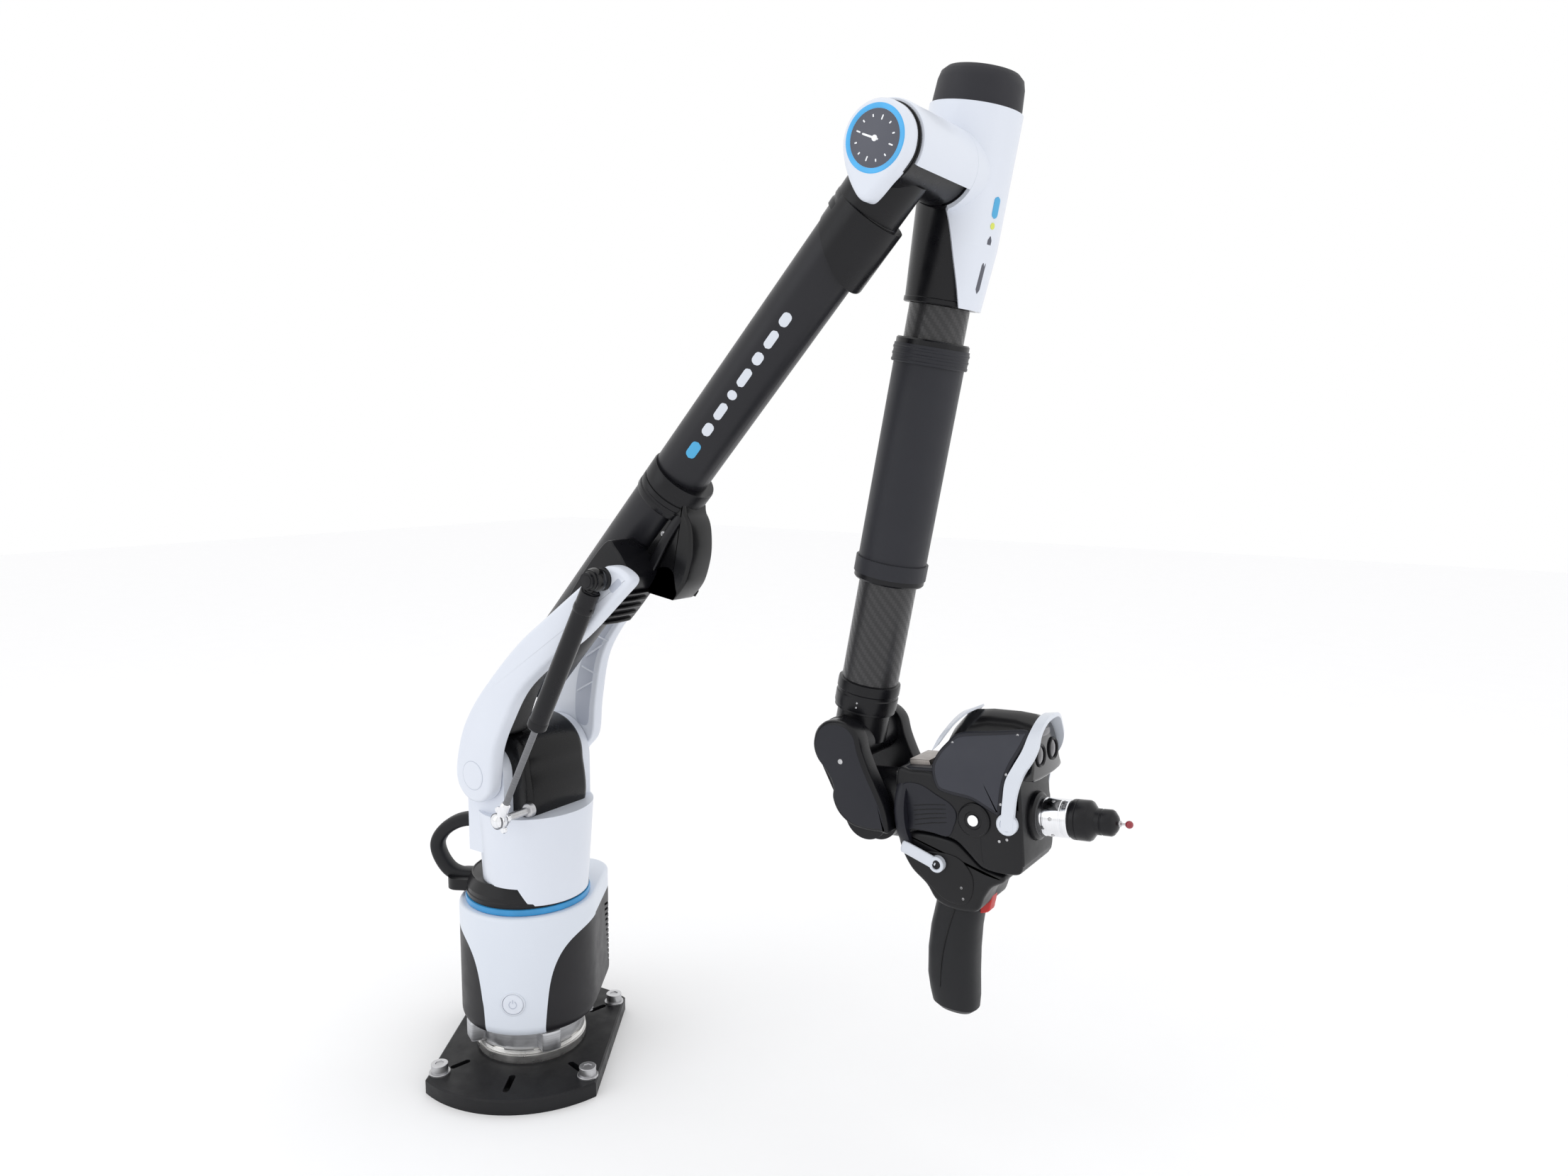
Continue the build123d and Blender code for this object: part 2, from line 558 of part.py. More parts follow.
with BuildPart() as elbow_cover:
    rod(FORE, HOUSING_TOP, 50, COVER_RADIUS)
    cone(FORE, 50, ROLL_JOINT_5, COVER_RADIUS, 32.5)
    rod(ELBOW_SIDE, -FOREARM_Y, -51.2, ELBOW_RADIUS + 4)
    add(housing_solid.part, mode=Mode.SUBTRACT)
    with BuildSketch(COVER_CUT.offset(-90)):
        with BuildLine():
            Spline((-7, -60), (-6.5, -32), (11, -22), (35, -10.7), (60, -2.2), (90, 8), (ROLL_JOINT_5 + 3, 11))
            Polyline((ROLL_JOINT_5 + 3, 11), (ROLL_JOINT_5 + 3, -60), (-7, -60))
        make_face()
    extrude(amount=180, mode=Mode.SUBTRACT)
finish(elbow_cover.part, "elbow_cover")

with BuildPart() as forearm_cap:
    rod(FORE, -78, HOUSING_TOP, 34)
    fillet(forearm_cap.edges().filter_by(GeomType.CIRCLE).sort_by(Axis.Z)[-1], 8)
finish(forearm_cap.part, "forearm_cap")

# ---------------------------------------------------------------- forearm
COLLAR_START = 417.0
with BuildPart() as forearm_tube:
    rod(FORE, ROLL_JOINT_5 + 0.4, COLLAR_START, FORE_RADIUS, FORE_RADIUS - 2.5)
    rod(FORE, 54, ROLL_JOINT_5 + 16, 17 - FIT, 11)
    rod(FORE, ROLL_JOINT_5 + 0.4, ROLL_JOINT_5 + 16, FORE_RADIUS - 1, 11)
finish(forearm_tube.part, "forearm_tube")

with BuildPart() as forearm_sleeve:
    rod(FORE, 129, 318, SLEEVE_RADIUS, FORE_RADIUS)
    rod(FORE, 129, 143, SLEEVE_RADIUS + 1.8, FORE_RADIUS)
    rod(FORE, 305, 318, SLEEVE_RADIUS + 1.8, FORE_RADIUS)
finish(forearm_sleeve.part, "forearm_sleeve")

with BuildPart() as wrist_knuckle:
    rod(FORE, COLLAR_START, 437, 26.2)
    rod(FORE, 437, FOREARM_LENGTH, 23)
    rod(WRIST_SIDE, -KNUCKLE_HALF, KNUCKLE_HALF, 21)
    rod(WRIST_SIDE, -40, 40, 8, mode=Mode.SUBTRACT)
finish(wrist_knuckle.part, "wrist_knuckle")

# ---------------------------------------------------------------- wrist yoke
YOKE_LOW = (26, -2)       # centre of the yoke plates' lower end, along and above the roll axis
with BuildPart() as wrist_yoke:
    for low, high in ((YOKE_INNER, YOKE_OUTER), (-YOKE_OUTER, -YOKE_INNER)):
        link(HANDLE_SIDE, [(0, WRIST_DROP, 20), (*YOKE_LOW, 20)], low, high)
    link(HANDLE_SIDE, [(*YOKE_LOW, 20), (30, -6, 19)], -YOKE_INNER, YOKE_INNER)
    rod(HANDLE, 6, ROLL_JOINT_7, YOKE_BARREL)
    rod(HANDLE, 18, ROLL_JOINT_7 + 1, 15, mode=Mode.SUBTRACT)
    rod(WRIST_SIDE, -YOKE_OUTER, YOKE_OUTER, 8 - FIT, mode=Mode.SUBTRACT)
finish(wrist_yoke.part, "wrist_yoke")

with BuildPart() as yoke_covers:
    for low, high in ((YOKE_OUTER, YOKE_COVER), (-YOKE_COVER, -YOKE_OUTER)):
        link(HANDLE_SIDE, [(0, WRIST_DROP, 19.2), (*YOKE_LOW, 19.2)], low, high)
finish(yoke_covers.part, "yoke_covers")

with BuildPart() as wrist_axle:
    rod(WRIST_SIDE, -YOKE_OUTER, YOKE_OUTER, 8 - FIT)
finish(wrist_axle.part, "wrist_axle")

# ---------------------------------------------------------------- handle and scanner
HANDLE_START = ROLL_JOINT_7 + 0.5
body_points = [
    (RING_END, 36), (86, 37), (91, 28), (104, 22), (144, 30), (FRONT_FACE, 34), (FRONT_FACE, -30),
    (150, -42), (130, -44), (113, -27), (98, -20), (RING_END, -20),
]
BUTTON_AT = (118.5, 1.5)
with BuildPart() as handle_body:
    prism(HANDLE_SIDE, body_points, -HANDLE_HALF, HANDLE_HALF)
    with BuildSketch(HANDLE_SIDE.offset(HANDLE_HALF)):
        with Locations(BUTTON_AT):
            Circle(13)
    extrude(amount=2)
    with BuildSketch(HANDLE_SIDE.offset(HANDLE_HALF - 5)):
        with Locations(BUTTON_AT):
            Circle(6)
    extrude(amount=10, mode=Mode.SUBTRACT)
finish(handle_body.part, "handle_body")

with BuildPart() as mode_button:
    with BuildSketch(HANDLE_SIDE.offset(HANDLE_HALF - 2.5)):
        with Locations(BUTTON_AT):
            Circle(5.7)
    extrude(amount=6)
finish(mode_button.part, "mode_button")

with BuildPart() as handle_ring:
    rod(HANDLE, HANDLE_START, RING_END, HANDLE_RING)
    rod(HANDLE, 22, HANDLE_START, 15 - FIT)
finish(handle_ring.part, "handle_ring")

SCANNER_EDGE = 75.0       # height of the scanner's side edges above the roll axis
SCANNER_CROWN = 85.0
side_points = [(91, 28), (86, 41), (89, 52), (104, SCANNER_EDGE), (160, SCANNER_EDGE), (144, 30), (104, 22)]
crown_points = [(91, 28), (86, 37.2), (89, 54), (108, 92), (162, 92), (FRONT_FACE - 2, 34), (144, 30), (104, 22)]


def crown(outer, low, high, mode=Mode.ADD):
    """A bar along the roll axis whose top is an arc across the scanner."""
    with BuildLine() as edge:
        Polyline((outer[0], SCANNER_HALF), (0, SCANNER_HALF), (0, -SCANNER_HALF), (outer[0], -SCANNER_HALF))
        ThreePointArc((outer[0], -SCANNER_HALF), (outer[1], 0), (outer[0], SCANNER_HALF))
    with BuildSketch(HANDLE.offset(low)) as section:
        make_face(edge.edges())
    extrude(section.sketch, amount=high - low, mode=mode)


with BuildPart() as scanner_body:
    prism(HANDLE_SIDE, crown_points, -SCANNER_HALF, SCANNER_HALF)
    with BuildPart(mode=Mode.INTERSECT):
        crown((SCANNER_EDGE, SCANNER_CROWN), 80, 170)
    add(handle_body.part, mode=Mode.SUBTRACT)
finish(scanner_body.part, "scanner_body")

with BuildPart() as scanner_covers:
    for low, high in ((HANDLE_HALF, HANDLE_HALF + 1.5), (-HANDLE_HALF - 1.5, -HANDLE_HALF)):
        prism(HANDLE_SIDE, side_points, low, high)
    block(HANDLE_SIDE, (60, -60), (145, 16), -60, 60, mode=Mode.SUBTRACT)
finish(scanner_covers.part, "scanner_covers")

frame_points = [
    (140, 1), (144, 8), (145, 31), (155, 56), (160, 72), (171, 78), (171, 60), (163, 43), (157, 33), (155, 18),
    (156, 1),
]
with BuildPart() as front_frame:
    for low, high in ((HANDLE_HALF + 1.6, HANDLE_HALF + 5), (-HANDLE_HALF - 5, -HANDLE_HALF - 1.6)):
        prism(HANDLE_SIDE, frame_points, low, high)
        with BuildSketch(HANDLE_SIDE.offset(low)) as pivot_disc:
            with Locations((PIVOT, 1)):
                Circle(8.5)
        extrude(pivot_disc.sketch, amount=high - low)
    block(HANDLE, (64, -HANDLE_HALF - 5), (78, HANDLE_HALF + 5), 163, 171)
finish(front_frame.part, "front_frame")

with BuildPart() as rear_trim:
    prism(HANDLE_SIDE, [(84, 52), (100, 80), (112, 96), (106, 96), (89, 72), (79, 52)], -SCANNER_HALF, SCANNER_HALF)
    add(scanner_body.part, mode=Mode.SUBTRACT)
    with BuildPart(mode=Mode.INTERSECT):
        crown((SCANNER_EDGE + 3, SCANNER_CROWN + 3), 70, 120)
finish(rear_trim.part, "rear_trim")

with BuildPart() as lens_bezel:
    block(HANDLE_SIDE, (FRONT_FACE - 1, 36), (162.6, 63.6), -SCANNER_HALF, SCANNER_HALF)
    add(scanner_body.part, mode=Mode.SUBTRACT)
    for y in (-15, 15):
        with BuildSketch(HANDLE.offset(160)) as window:
            with Locations((50, y)):
                Circle(8)
        extrude(window.sketch, amount=4, mode=Mode.SUBTRACT)
finish(lens_bezel.part, "lens_bezel")

# ---------------------------------------------------------------- probe
with BuildPart() as probe_mount:
    rod(HANDLE, FRONT_FACE, 168, 17)
    rod(HANDLE, 168, 187, 14.5)
finish(probe_mount.part, "probe_mount")

with BuildPart() as probe_body:
    rod(HANDLE, 187, 190, 14)
    rod(HANDLE, 190, 202, 15.5)
    cone(HANDLE, 202, 206, 15.5, 10)
    rod(HANDLE, 206, 220, 8.8)
    cone(HANDLE, 220, 224, 8.8, 6)
finish(probe_body.part, "probe_body")

BALL_AT = 232.0
with BuildPart() as stylus_tip:
    rod(HANDLE, 224, BALL_AT, 1.1)
    with Locations(HANDLE.offset(BALL_AT).location):
        Sphere(3)
finish(stylus_tip.part, "stylus_tip")

# ---------------------------------------------------------------- grip
GRIP = Plane(origin=roll_start, x_dir=roll_dir, z_dir=-roll_up)
LEVER_AT = (83, -39)
LEVER_INNER = 31.4        # inner face of each grip lever plate
LEVER_OUTER = 35.0
mount_points = [
    (RING_END, -20), (98, -20), (113, -27), (128, -42), (126, -54), (113, -67), (72, -67),
    (RING_END, -50),
]
with BuildPart() as trigger_pocket:
    block(HANDLE_SIDE, (95, -84), (119, -61), -6.4, 6.4)

with BuildPart() as grip_mount:
    prism(HANDLE_SIDE, mount_points, -24, 24)
    with BuildSketch(HANDLE_SIDE.offset(-LEVER_INNER + 0.4)):
        with Locations(LEVER_AT):
            Circle(7)
    extrude(amount=2 * LEVER_INNER - 0.8)
    add(trigger_pocket.part, mode=Mode.SUBTRACT)
    with BuildSketch(HANDLE_SIDE.offset(-40)):
        with Locations(LEVER_AT):
            Circle(3 + FIT)
    extrude(amount=80, mode=Mode.SUBTRACT)
finish(grip_mount.part, "grip_mount")

with BuildPart() as grip:
    for depth, centre, half_length, half_width in ((67, 92, 20, 18), (112, 81, 23, 18.5), (168, 76, 20, 17)):
        with BuildSketch(GRIP.offset(depth)):
            with Locations((centre, 0)):
                Ellipse(half_length, half_width)
    loft()
    add(trigger_pocket.part, mode=Mode.SUBTRACT)
finish(grip.part, "grip")

with BuildPart() as grip_lever:
    for low, high in ((LEVER_INNER, LEVER_OUTER), (-LEVER_OUTER, -LEVER_INNER)):
        link(HANDLE_SIDE, [(*LEVER_AT, 6.5), (51, -33, 5)], low, high)
    with BuildSketch(HANDLE_SIDE.offset(-LEVER_OUTER)):
        with Locations(LEVER_AT):
            Circle(3)
    extrude(amount=2 * LEVER_OUTER)
finish(grip_lever.part, "grip_lever")

with BuildPart() as trigger:
    prism(HANDLE_SIDE, [(103, -62), (116, -62), (112, -83), (103, -83)], -6, 6)
finish(trigger.part, "trigger")
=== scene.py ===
"""Portable seven-axis measuring arm: materials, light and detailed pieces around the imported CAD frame.

Link frames come from the joints' places and axes, and their local units are millimetres.
"""
import json
import math

import bpy
import bmesh
from mathutils import Matrix, Vector


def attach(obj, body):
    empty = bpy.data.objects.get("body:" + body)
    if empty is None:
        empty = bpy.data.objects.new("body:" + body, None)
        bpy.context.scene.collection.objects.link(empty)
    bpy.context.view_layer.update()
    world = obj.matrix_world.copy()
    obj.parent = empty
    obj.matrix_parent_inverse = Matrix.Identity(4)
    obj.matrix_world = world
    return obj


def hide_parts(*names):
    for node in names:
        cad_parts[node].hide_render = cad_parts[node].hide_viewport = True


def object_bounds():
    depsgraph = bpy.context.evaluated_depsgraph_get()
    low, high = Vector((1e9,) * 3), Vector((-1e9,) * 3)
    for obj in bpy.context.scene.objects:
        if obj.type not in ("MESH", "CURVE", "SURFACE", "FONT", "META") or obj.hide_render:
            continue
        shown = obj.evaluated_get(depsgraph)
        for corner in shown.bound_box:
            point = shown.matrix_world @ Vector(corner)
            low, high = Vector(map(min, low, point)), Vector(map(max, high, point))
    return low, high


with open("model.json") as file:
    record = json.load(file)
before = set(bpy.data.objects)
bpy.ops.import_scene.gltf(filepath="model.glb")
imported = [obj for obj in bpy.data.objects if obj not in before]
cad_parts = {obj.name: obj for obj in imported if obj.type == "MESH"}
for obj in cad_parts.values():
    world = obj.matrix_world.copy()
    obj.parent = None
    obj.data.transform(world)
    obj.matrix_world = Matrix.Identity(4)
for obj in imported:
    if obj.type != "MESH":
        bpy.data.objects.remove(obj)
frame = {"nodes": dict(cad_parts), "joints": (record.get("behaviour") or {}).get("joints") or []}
cad_low, cad_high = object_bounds()
nodes = frame["nodes"]
MM = 0.001
TUBE_RADIUS = 24.2
BOLT_CIRCLE = 99
STRUT_END = Vector((0.046, -0.074, 0.267))
STRUT_STUD = (168, 195, 0)
LEVER_PIVOT = (84, -38.8, 0)
DIAL_ANGLE = 1.9
WALL_FOOT, WALL_CURVE = 34, 0.0085
ARCH_LOW, ARCH_TOP, ARCH_HALF = 26, 82.5, 30.2
GRIP_MIDDLE, GRIP_END, GRIP_SLOPE = 77, -150, 0.16


# ---------------------------------------------------------------- link frames
class Link:
    """A right-handed frame on one link. Local coordinates are in millimetres."""

    def __init__(self, origin, x, z):
        self.origin = Vector(origin)
        self.z = Vector(z).normalized()
        self.x = (Vector(x) - self.z * self.z.dot(Vector(x))).normalized()
        self.y = self.z.cross(self.x)

    def at(self, x, y, z):
        """A local point in the row frame."""
        return self.origin + (self.x * x + self.y * y + self.z * z) * MM

    def shifted(self, x, y, z):
        """The same axes at another local point."""
        return Link(self.at(x, y, z), self.x, self.z)


joints = {j["name"]: j for j in frame["joints"]}


def joint_at(name):
    """A joint's place and axis."""
    return Vector(joints[name]["pos_m"]), Vector(joints[name]["axis"]).normalized()


NEAR = Vector((0, -1, 0))
shoulder, _ = joint_at("shoulder_hinge")
upper_foot, upper_dir = joint_at("upper_roll")
elbow, _ = joint_at("elbow_hinge")
fore_start, fore_dir = joint_at("forearm_roll")
hand_start, hand_dir = joint_at("hand_roll")
strut_top, _ = joint_at("strut_top_pivot")
strut_dir = Vector(joints["strut_stroke"]["axis"]).normalized()
base_front = -Vector(joints["power_press"]["axis"]).normalized()

UP = Vector((0, 0, 1))
GROUND = Vector((0, 0, 0))
BASE = Link(GROUND, base_front, UP)
BASE_FRONT = Link(GROUND, UP.cross(base_front), base_front)
TURRET = Link(GROUND, (1, 0, 0), UP)
SHOULDER = Link(shoulder, (1, 0, 0), NEAR)
UPPER = Link(upper_foot, NEAR.cross(upper_dir) * -1, upper_dir)
UPPER_SIDE = Link(upper_foot, upper_dir, NEAR)
ELBOW = Link(elbow, upper_dir, NEAR)
FORE = Link(fore_start, NEAR.cross(fore_dir), fore_dir)
HAND = Link(hand_start, NEAR.cross(hand_dir), hand_dir)
HAND_SIDE = Link(hand_start, hand_dir, NEAR)
STRUT = Link(strut_top, (0, 1, 0), strut_dir)


# ---------------------------------------------------------------- materials
def material(name):
    """An empty node material and its shader."""
    made = bpy.data.materials.new(name)
    made.use_nodes = True
    made.node_tree.nodes.clear()
    out = made.node_tree.nodes.new("ShaderNodeOutputMaterial")
    shader = made.node_tree.nodes.new("ShaderNodeBsdfPrincipled")
    made.node_tree.links.new(shader.outputs[0], out.inputs[0])
    return made, made.node_tree, shader


def linear(rgb):
    """sRGB 0-255 to linear."""
    out = []
    for c in rgb:
        c = c / 255
        out.append(c / 12.92 if c <= 0.04045 else ((c + 0.055) / 1.055) ** 2.4)
    return (*out, 1)


def ramp(tree, source, stops):
    """A colour ramp over a factor."""
    node = tree.nodes.new("ShaderNodeValToRGB")
    node.color_ramp.elements[0].position = stops[0][0]
    node.color_ramp.elements[0].color = stops[0][1]
    node.color_ramp.elements[1].position = stops[-1][0]
    node.color_ramp.elements[1].color = stops[-1][1]
    for place, colour in stops[1:-1]:
        element = node.color_ramp.elements.new(place)
        element.color = colour
    tree.links.new(source, node.inputs[0])
    return node.outputs[0]


def grey(value):
    """A neutral colour."""
    return (value, value, value, 1)


def noise(tree, scale, detail=3.0, rough=0.5):
    """A noise factor in the object's coordinates."""
    place = tree.nodes.new("ShaderNodeTexCoord").outputs["Object"]
    node = tree.nodes.new("ShaderNodeTexNoise")
    node.inputs["Scale"].default_value = scale
    node.inputs["Detail"].default_value = detail
    node.inputs["Roughness"].default_value = rough
    tree.links.new(place, node.inputs["Vector"])
    return node.outputs["Fac"]


def bump(tree, shader, height, strength, distance):
    """Fine relief from a height factor."""
    node = tree.nodes.new("ShaderNodeBump")
    node.inputs["Strength"].default_value = strength
    node.inputs["Distance"].default_value = distance
    tree.links.new(height, node.inputs["Height"])
    tree.links.new(node.outputs[0], shader.inputs["Normal"])


def moulded(name, rgb, rough=0.42, spread=0.08, grain=2600.0, strength=0.12, metal=0.0, coat=0.0, tint=0.06, sheen=0.0, shine=0.5):
    """A moulded or painted surface: slow colour drift, fine grain and uneven gloss."""
    made, tree, shader = material(name)
    base = linear(rgb)
    dark = tuple(c * (1 - tint) for c in base[:3]) + (1,)
    light = tuple(min(1, c * (1 + tint)) for c in base[:3]) + (1,)
    tree.links.new(ramp(tree, noise(tree, 14.0, 4.0), [(0.3, dark), (0.7, light)]),
        shader.inputs["Base Color"])
    gloss = ramp(tree, noise(tree, 55.0, 5.0, 0.6), [(0.25, grey(max(0.03, rough - spread))),
        (0.75, grey(rough + spread))])
    tree.links.new(gloss, shader.inputs["Roughness"])
    bump(tree, shader, noise(tree, grain, 2.0), strength, 0.00006)
    shader.inputs["Metallic"].default_value = metal
    shader.inputs["Coat Weight"].default_value = coat
    shader.inputs["Coat Roughness"].default_value = 0.12
    shader.inputs["Sheen Weight"].default_value = sheen
    shader.inputs["Specular IOR Level"].default_value = shine
    return made


def turned(name, rgb, link, rough=0.25, lines=2.4, strength=0.25, tint=0.12):
    """Turned metal: fine lines around a link's axis, in colour, gloss and relief."""
    made, tree, shader = material(name)
    along = tree.nodes.new("ShaderNodeVectorMath")
    along.operation = "DOT_PRODUCT"
    tree.links.new(tree.nodes.new("ShaderNodeTexCoord").outputs["Object"], along.inputs[0])
    along.inputs[1].default_value = link.z
    node = tree.nodes.new("ShaderNodeTexNoise")
    node.noise_dimensions = "1D"
    node.inputs["Scale"].default_value = lines * 1000
    node.inputs["Detail"].default_value = 4.0
    tree.links.new(along.outputs["Value"], node.inputs["W"])
    base = linear(rgb)
    dark = tuple(c * (1 - tint) for c in base[:3]) + (1,)
    light = tuple(min(1, c * (1 + tint)) for c in base[:3]) + (1,)
    tree.links.new(ramp(tree, node.outputs["Fac"], [(0.3, dark), (0.7, light)]), shader.inputs["Base Color"])
    gloss = ramp(tree, noise(tree, 80.0, 4.0), [(0.3, grey(rough * 0.75)), (0.7, grey(rough * 1.3))])
    tree.links.new(gloss, shader.inputs["Roughness"])
    bump(tree, shader, node.outputs["Fac"], strength, 0.00004)
    shader.inputs["Metallic"].default_value = 1.0
    return made


def carbon(name, link, radius, rgb_dark, rgb_light):
    """Twill-woven carbon tube: tows run along and around the link's axis, each with its own sheen, painted into the
    colour as lighter tows in one direction and lighter tow crowns.
    """
    pitch, rough, coat = 2.2, 0.34, 0.25
    made, tree, shader = material(name)
    new, join = tree.nodes.new, tree.links.new
    place = new("ShaderNodeVectorMath")
    place.operation = "SUBTRACT"
    join(new("ShaderNodeTexCoord").outputs["Object"], place.inputs[0])
    place.inputs[1].default_value = link.origin

    def dot(axis):
        node = new("ShaderNodeVectorMath")
        node.operation = "DOT_PRODUCT"
        join(place.outputs[0], node.inputs[0])
        node.inputs[1].default_value = axis
        return node.outputs["Value"]

    def maths(operation, first, second=None):
        node = new("ShaderNodeMath")
        node.operation = operation
        for socket, value in zip(node.inputs, (first, second)):
            if isinstance(value, (int, float)):
                socket.default_value = value
            elif value is not None:
                join(value, socket)
        return node.outputs[0]

    tows = round(2 * math.pi * radius / pitch / 4) * 4
    around = maths("MULTIPLY", maths("ARCTAN2", dot(link.y), dot(link.x)), tows / (2 * math.pi))
    along = maths("MULTIPLY", dot(link.z), 1 / (pitch * MM))
    step = maths("FLOOR", along)
    shift = maths("ADD", maths("FLOOR", around), step)
    over = maths("LESS_THAN", maths("MODULO", maths("ADD", shift, 4000), 4), 1.5)
    crown_a = maths("ABSOLUTE", maths("SUBTRACT", maths("FRACT", around), 0.5))
    crown_b = maths("ABSOLUTE", maths("SUBTRACT", maths("FRACT", along), 0.5))
    height = maths("ADD", maths("MULTIPLY", over, maths("SUBTRACT", 0.5, crown_a)), maths("MULTIPLY",
        maths("SUBTRACT", 1, over), maths("SUBTRACT", 0.5, crown_b)))
    # Painted sheen and highlight: the base colour is lighter on the tows of one direction and along every tow's crown;
    # the roughness follows the same pattern.
    sheen_tone = maths("ADD", maths("MULTIPLY", over, 0.55), maths("MULTIPLY", height, 0.7))
    join(ramp(tree, sheen_tone, [(0.1, linear(rgb_dark)), (0.8, linear(rgb_light))]), shader.inputs["Base Color"])
    join(ramp(tree, sheen_tone, [(0.1, grey(rough + 0.12)), (0.8, grey(rough - 0.06))]), shader.inputs["Roughness"])
    bump(tree, shader, height, 0.3, 0.0001)
    shader.inputs["Coat Weight"].default_value = coat
    shader.inputs["Coat Roughness"].default_value = 0.2
    return made


def glowing(name, rgb, power):
    """A light guide: a lit colour that drifts a little along its length."""
    made, tree, shader = material(name)
    base = linear(rgb)
    dark = tuple(c * 0.85 for c in base[:3]) + (1,)
    colour = ramp(tree, noise(tree, 60.0, 2.0), [(0.3, dark), (0.7, base)])
    tree.links.new(colour, shader.inputs["Base Color"])
    tree.links.new(colour, shader.inputs["Emission Color"])
    shader.inputs["Emission Strength"].default_value = power
    shader.inputs["Roughness"].default_value = 0.25
    return made


WHITE = moulded("white_shell", (220, 225, 235), 0.38, 0.05, 3200, 0.06, tint=0.012, coat=0.15)
WHITE_LOW = moulded("white_base", (218, 224, 234), 0.42, 0.05, 3200, 0.08, tint=0.015)
TRIM = moulded("white_trim", (214, 219, 228), 0.32, 0.06, 2400, 0.06, tint=0.02, coat=0.2)
BLACK = moulded("black_shell", (17, 17, 20), 0.36, 0.08, 2600, 0.2, tint=0.14, shine=0.32)
PANEL = moulded("black_panel", (24, 23, 27), 0.44, 0.07, 2200, 0.3, tint=0.12, shine=0.35)
INSIDE = moulded("black_core", (8, 8, 10), 0.26, 0.1, 1800, 0.15, tint=0.2, shine=0.3)
SATIN = moulded("black_metal", (15, 15, 19), 0.3, 0.08, 3600, 0.12, tint=0.15, metal=0.1, shine=0.34)
SCANNER = moulded("scanner_shell", (27, 28, 36), 0.4, 0.06, 2800, 0.25, tint=0.08, shine=0.35)
GLOSS = moulded("scanner_top", (10, 10, 12), 0.24, 0.06, 1500, 0.05, tint=0.15, coat=0.15, shine=0.3)
PLATE = moulded("plate_paint", (19, 19, 22), 0.46, 0.12, 1400, 0.5, tint=0.2, shine=0.32)
GRIP = moulded("grip_rubber", (17, 18, 22), 0.46, 0.08, 1900, 0.5, tint=0.12, sheen=0.04, shine=0.32)
CAP = moulded("forearm_cap", (36, 36, 42), 0.5, 0.06, 1700, 0.45, tint=0.06, shine=0.35)
RED = moulded("trigger_red", (190, 30, 26), 0.4, 0.06, 2200, 0.2, tint=0.1)
BUTTON = moulded("button_white", (245, 247, 250), 0.3, 0.05, 3000, 0.04, tint=0.01, coat=0.3)
CASE = moulded("battery_case", (44, 44, 48), 0.5, 0.08, 2000, 0.3, tint=0.1)
LENS = moulded("lens_bezel", (12, 12, 15), 0.16, 0.05, 1200, 0.05, tint=0.3, coat=0.5)
DIAL = moulded("dial_face", (84, 86, 96), 0.5, 0.06, 2600, 0.2, tint=0.03)
BLUE = glowing("base_light", (52, 140, 196), 0.14)
SKY = glowing("elbow_light", (70, 165, 222), 0.22)
NUT = turned("nut_steel", (196, 197, 200), BASE, 0.42, lines=0.6)
STEEL = turned("ring_steel", (226, 225, 223), BASE, 0.32, lines=1.2)
SCREW = turned("screw_steel", (196, 196, 198), BASE, 0.36, lines=1.8)
ROD = turned("rod_steel", (120, 121, 124), STRUT, 0.22, lines=0.8)
PROBE = turned("probe_chrome", (236, 237, 240), HAND, 0.09, lines=0.7, strength=0.1, tint=0.05)
RING = turned("hand_ring", (158, 152, 148), HAND, 0.34, lines=1.0, tint=0.08)
AXLE = turned("axle_steel", (170, 171, 174), SHOULDER, 0.25)
RUBY = moulded("ruby", (140, 22, 40), 0.08, 0.03, 900, 0.02, tint=0.15, coat=0.6)
TUBE = moulded("upper_tube_paint", (28, 28, 33), 0.36, 0.05, 3400, 0.12, tint=0.05, metal=0.15, shine=0.4)
SLEEVE = moulded("sleeve_rubber", (31, 32, 39), 0.46, 0.06, 2000, 0.4, tint=0.05, sheen=0.04, shine=0.36)
CARBON = carbon("carbon_weave", FORE, 24.3, (22, 22, 24), (44, 43, 45))
# Grey painted shade for the recess, grooves and slot on the white fork; the same grey is the faint print on the power
# button.
PAINTED_SHADE_AND_PRINT_GREY = moulded("painted_shade_and_print_grey", (186, 192, 206), 0.5, 0.05, 2600, 0.1, tint=0.03)
PANEL_FACE = moulded("scanner_panel", (44, 46, 56), 0.5, 0.05, 3000, 0.3, tint=0.05)
SKY_MARK = moulded("mark_blue", (74, 168, 216), 0.4, 0.05, 2600, 0.1, tint=0.04)
LIME = moulded("mark_lime", (214, 222, 96), 0.4, 0.05, 2600, 0.1, tint=0.04)
GLASS = moulded("lens_glass", (18, 12, 30), 0.04, 0.02, 600, 0.01, tint=0.4, coat=1.0)
LAMP = glowing("button_lamp", (250, 250, 250), 0.35)

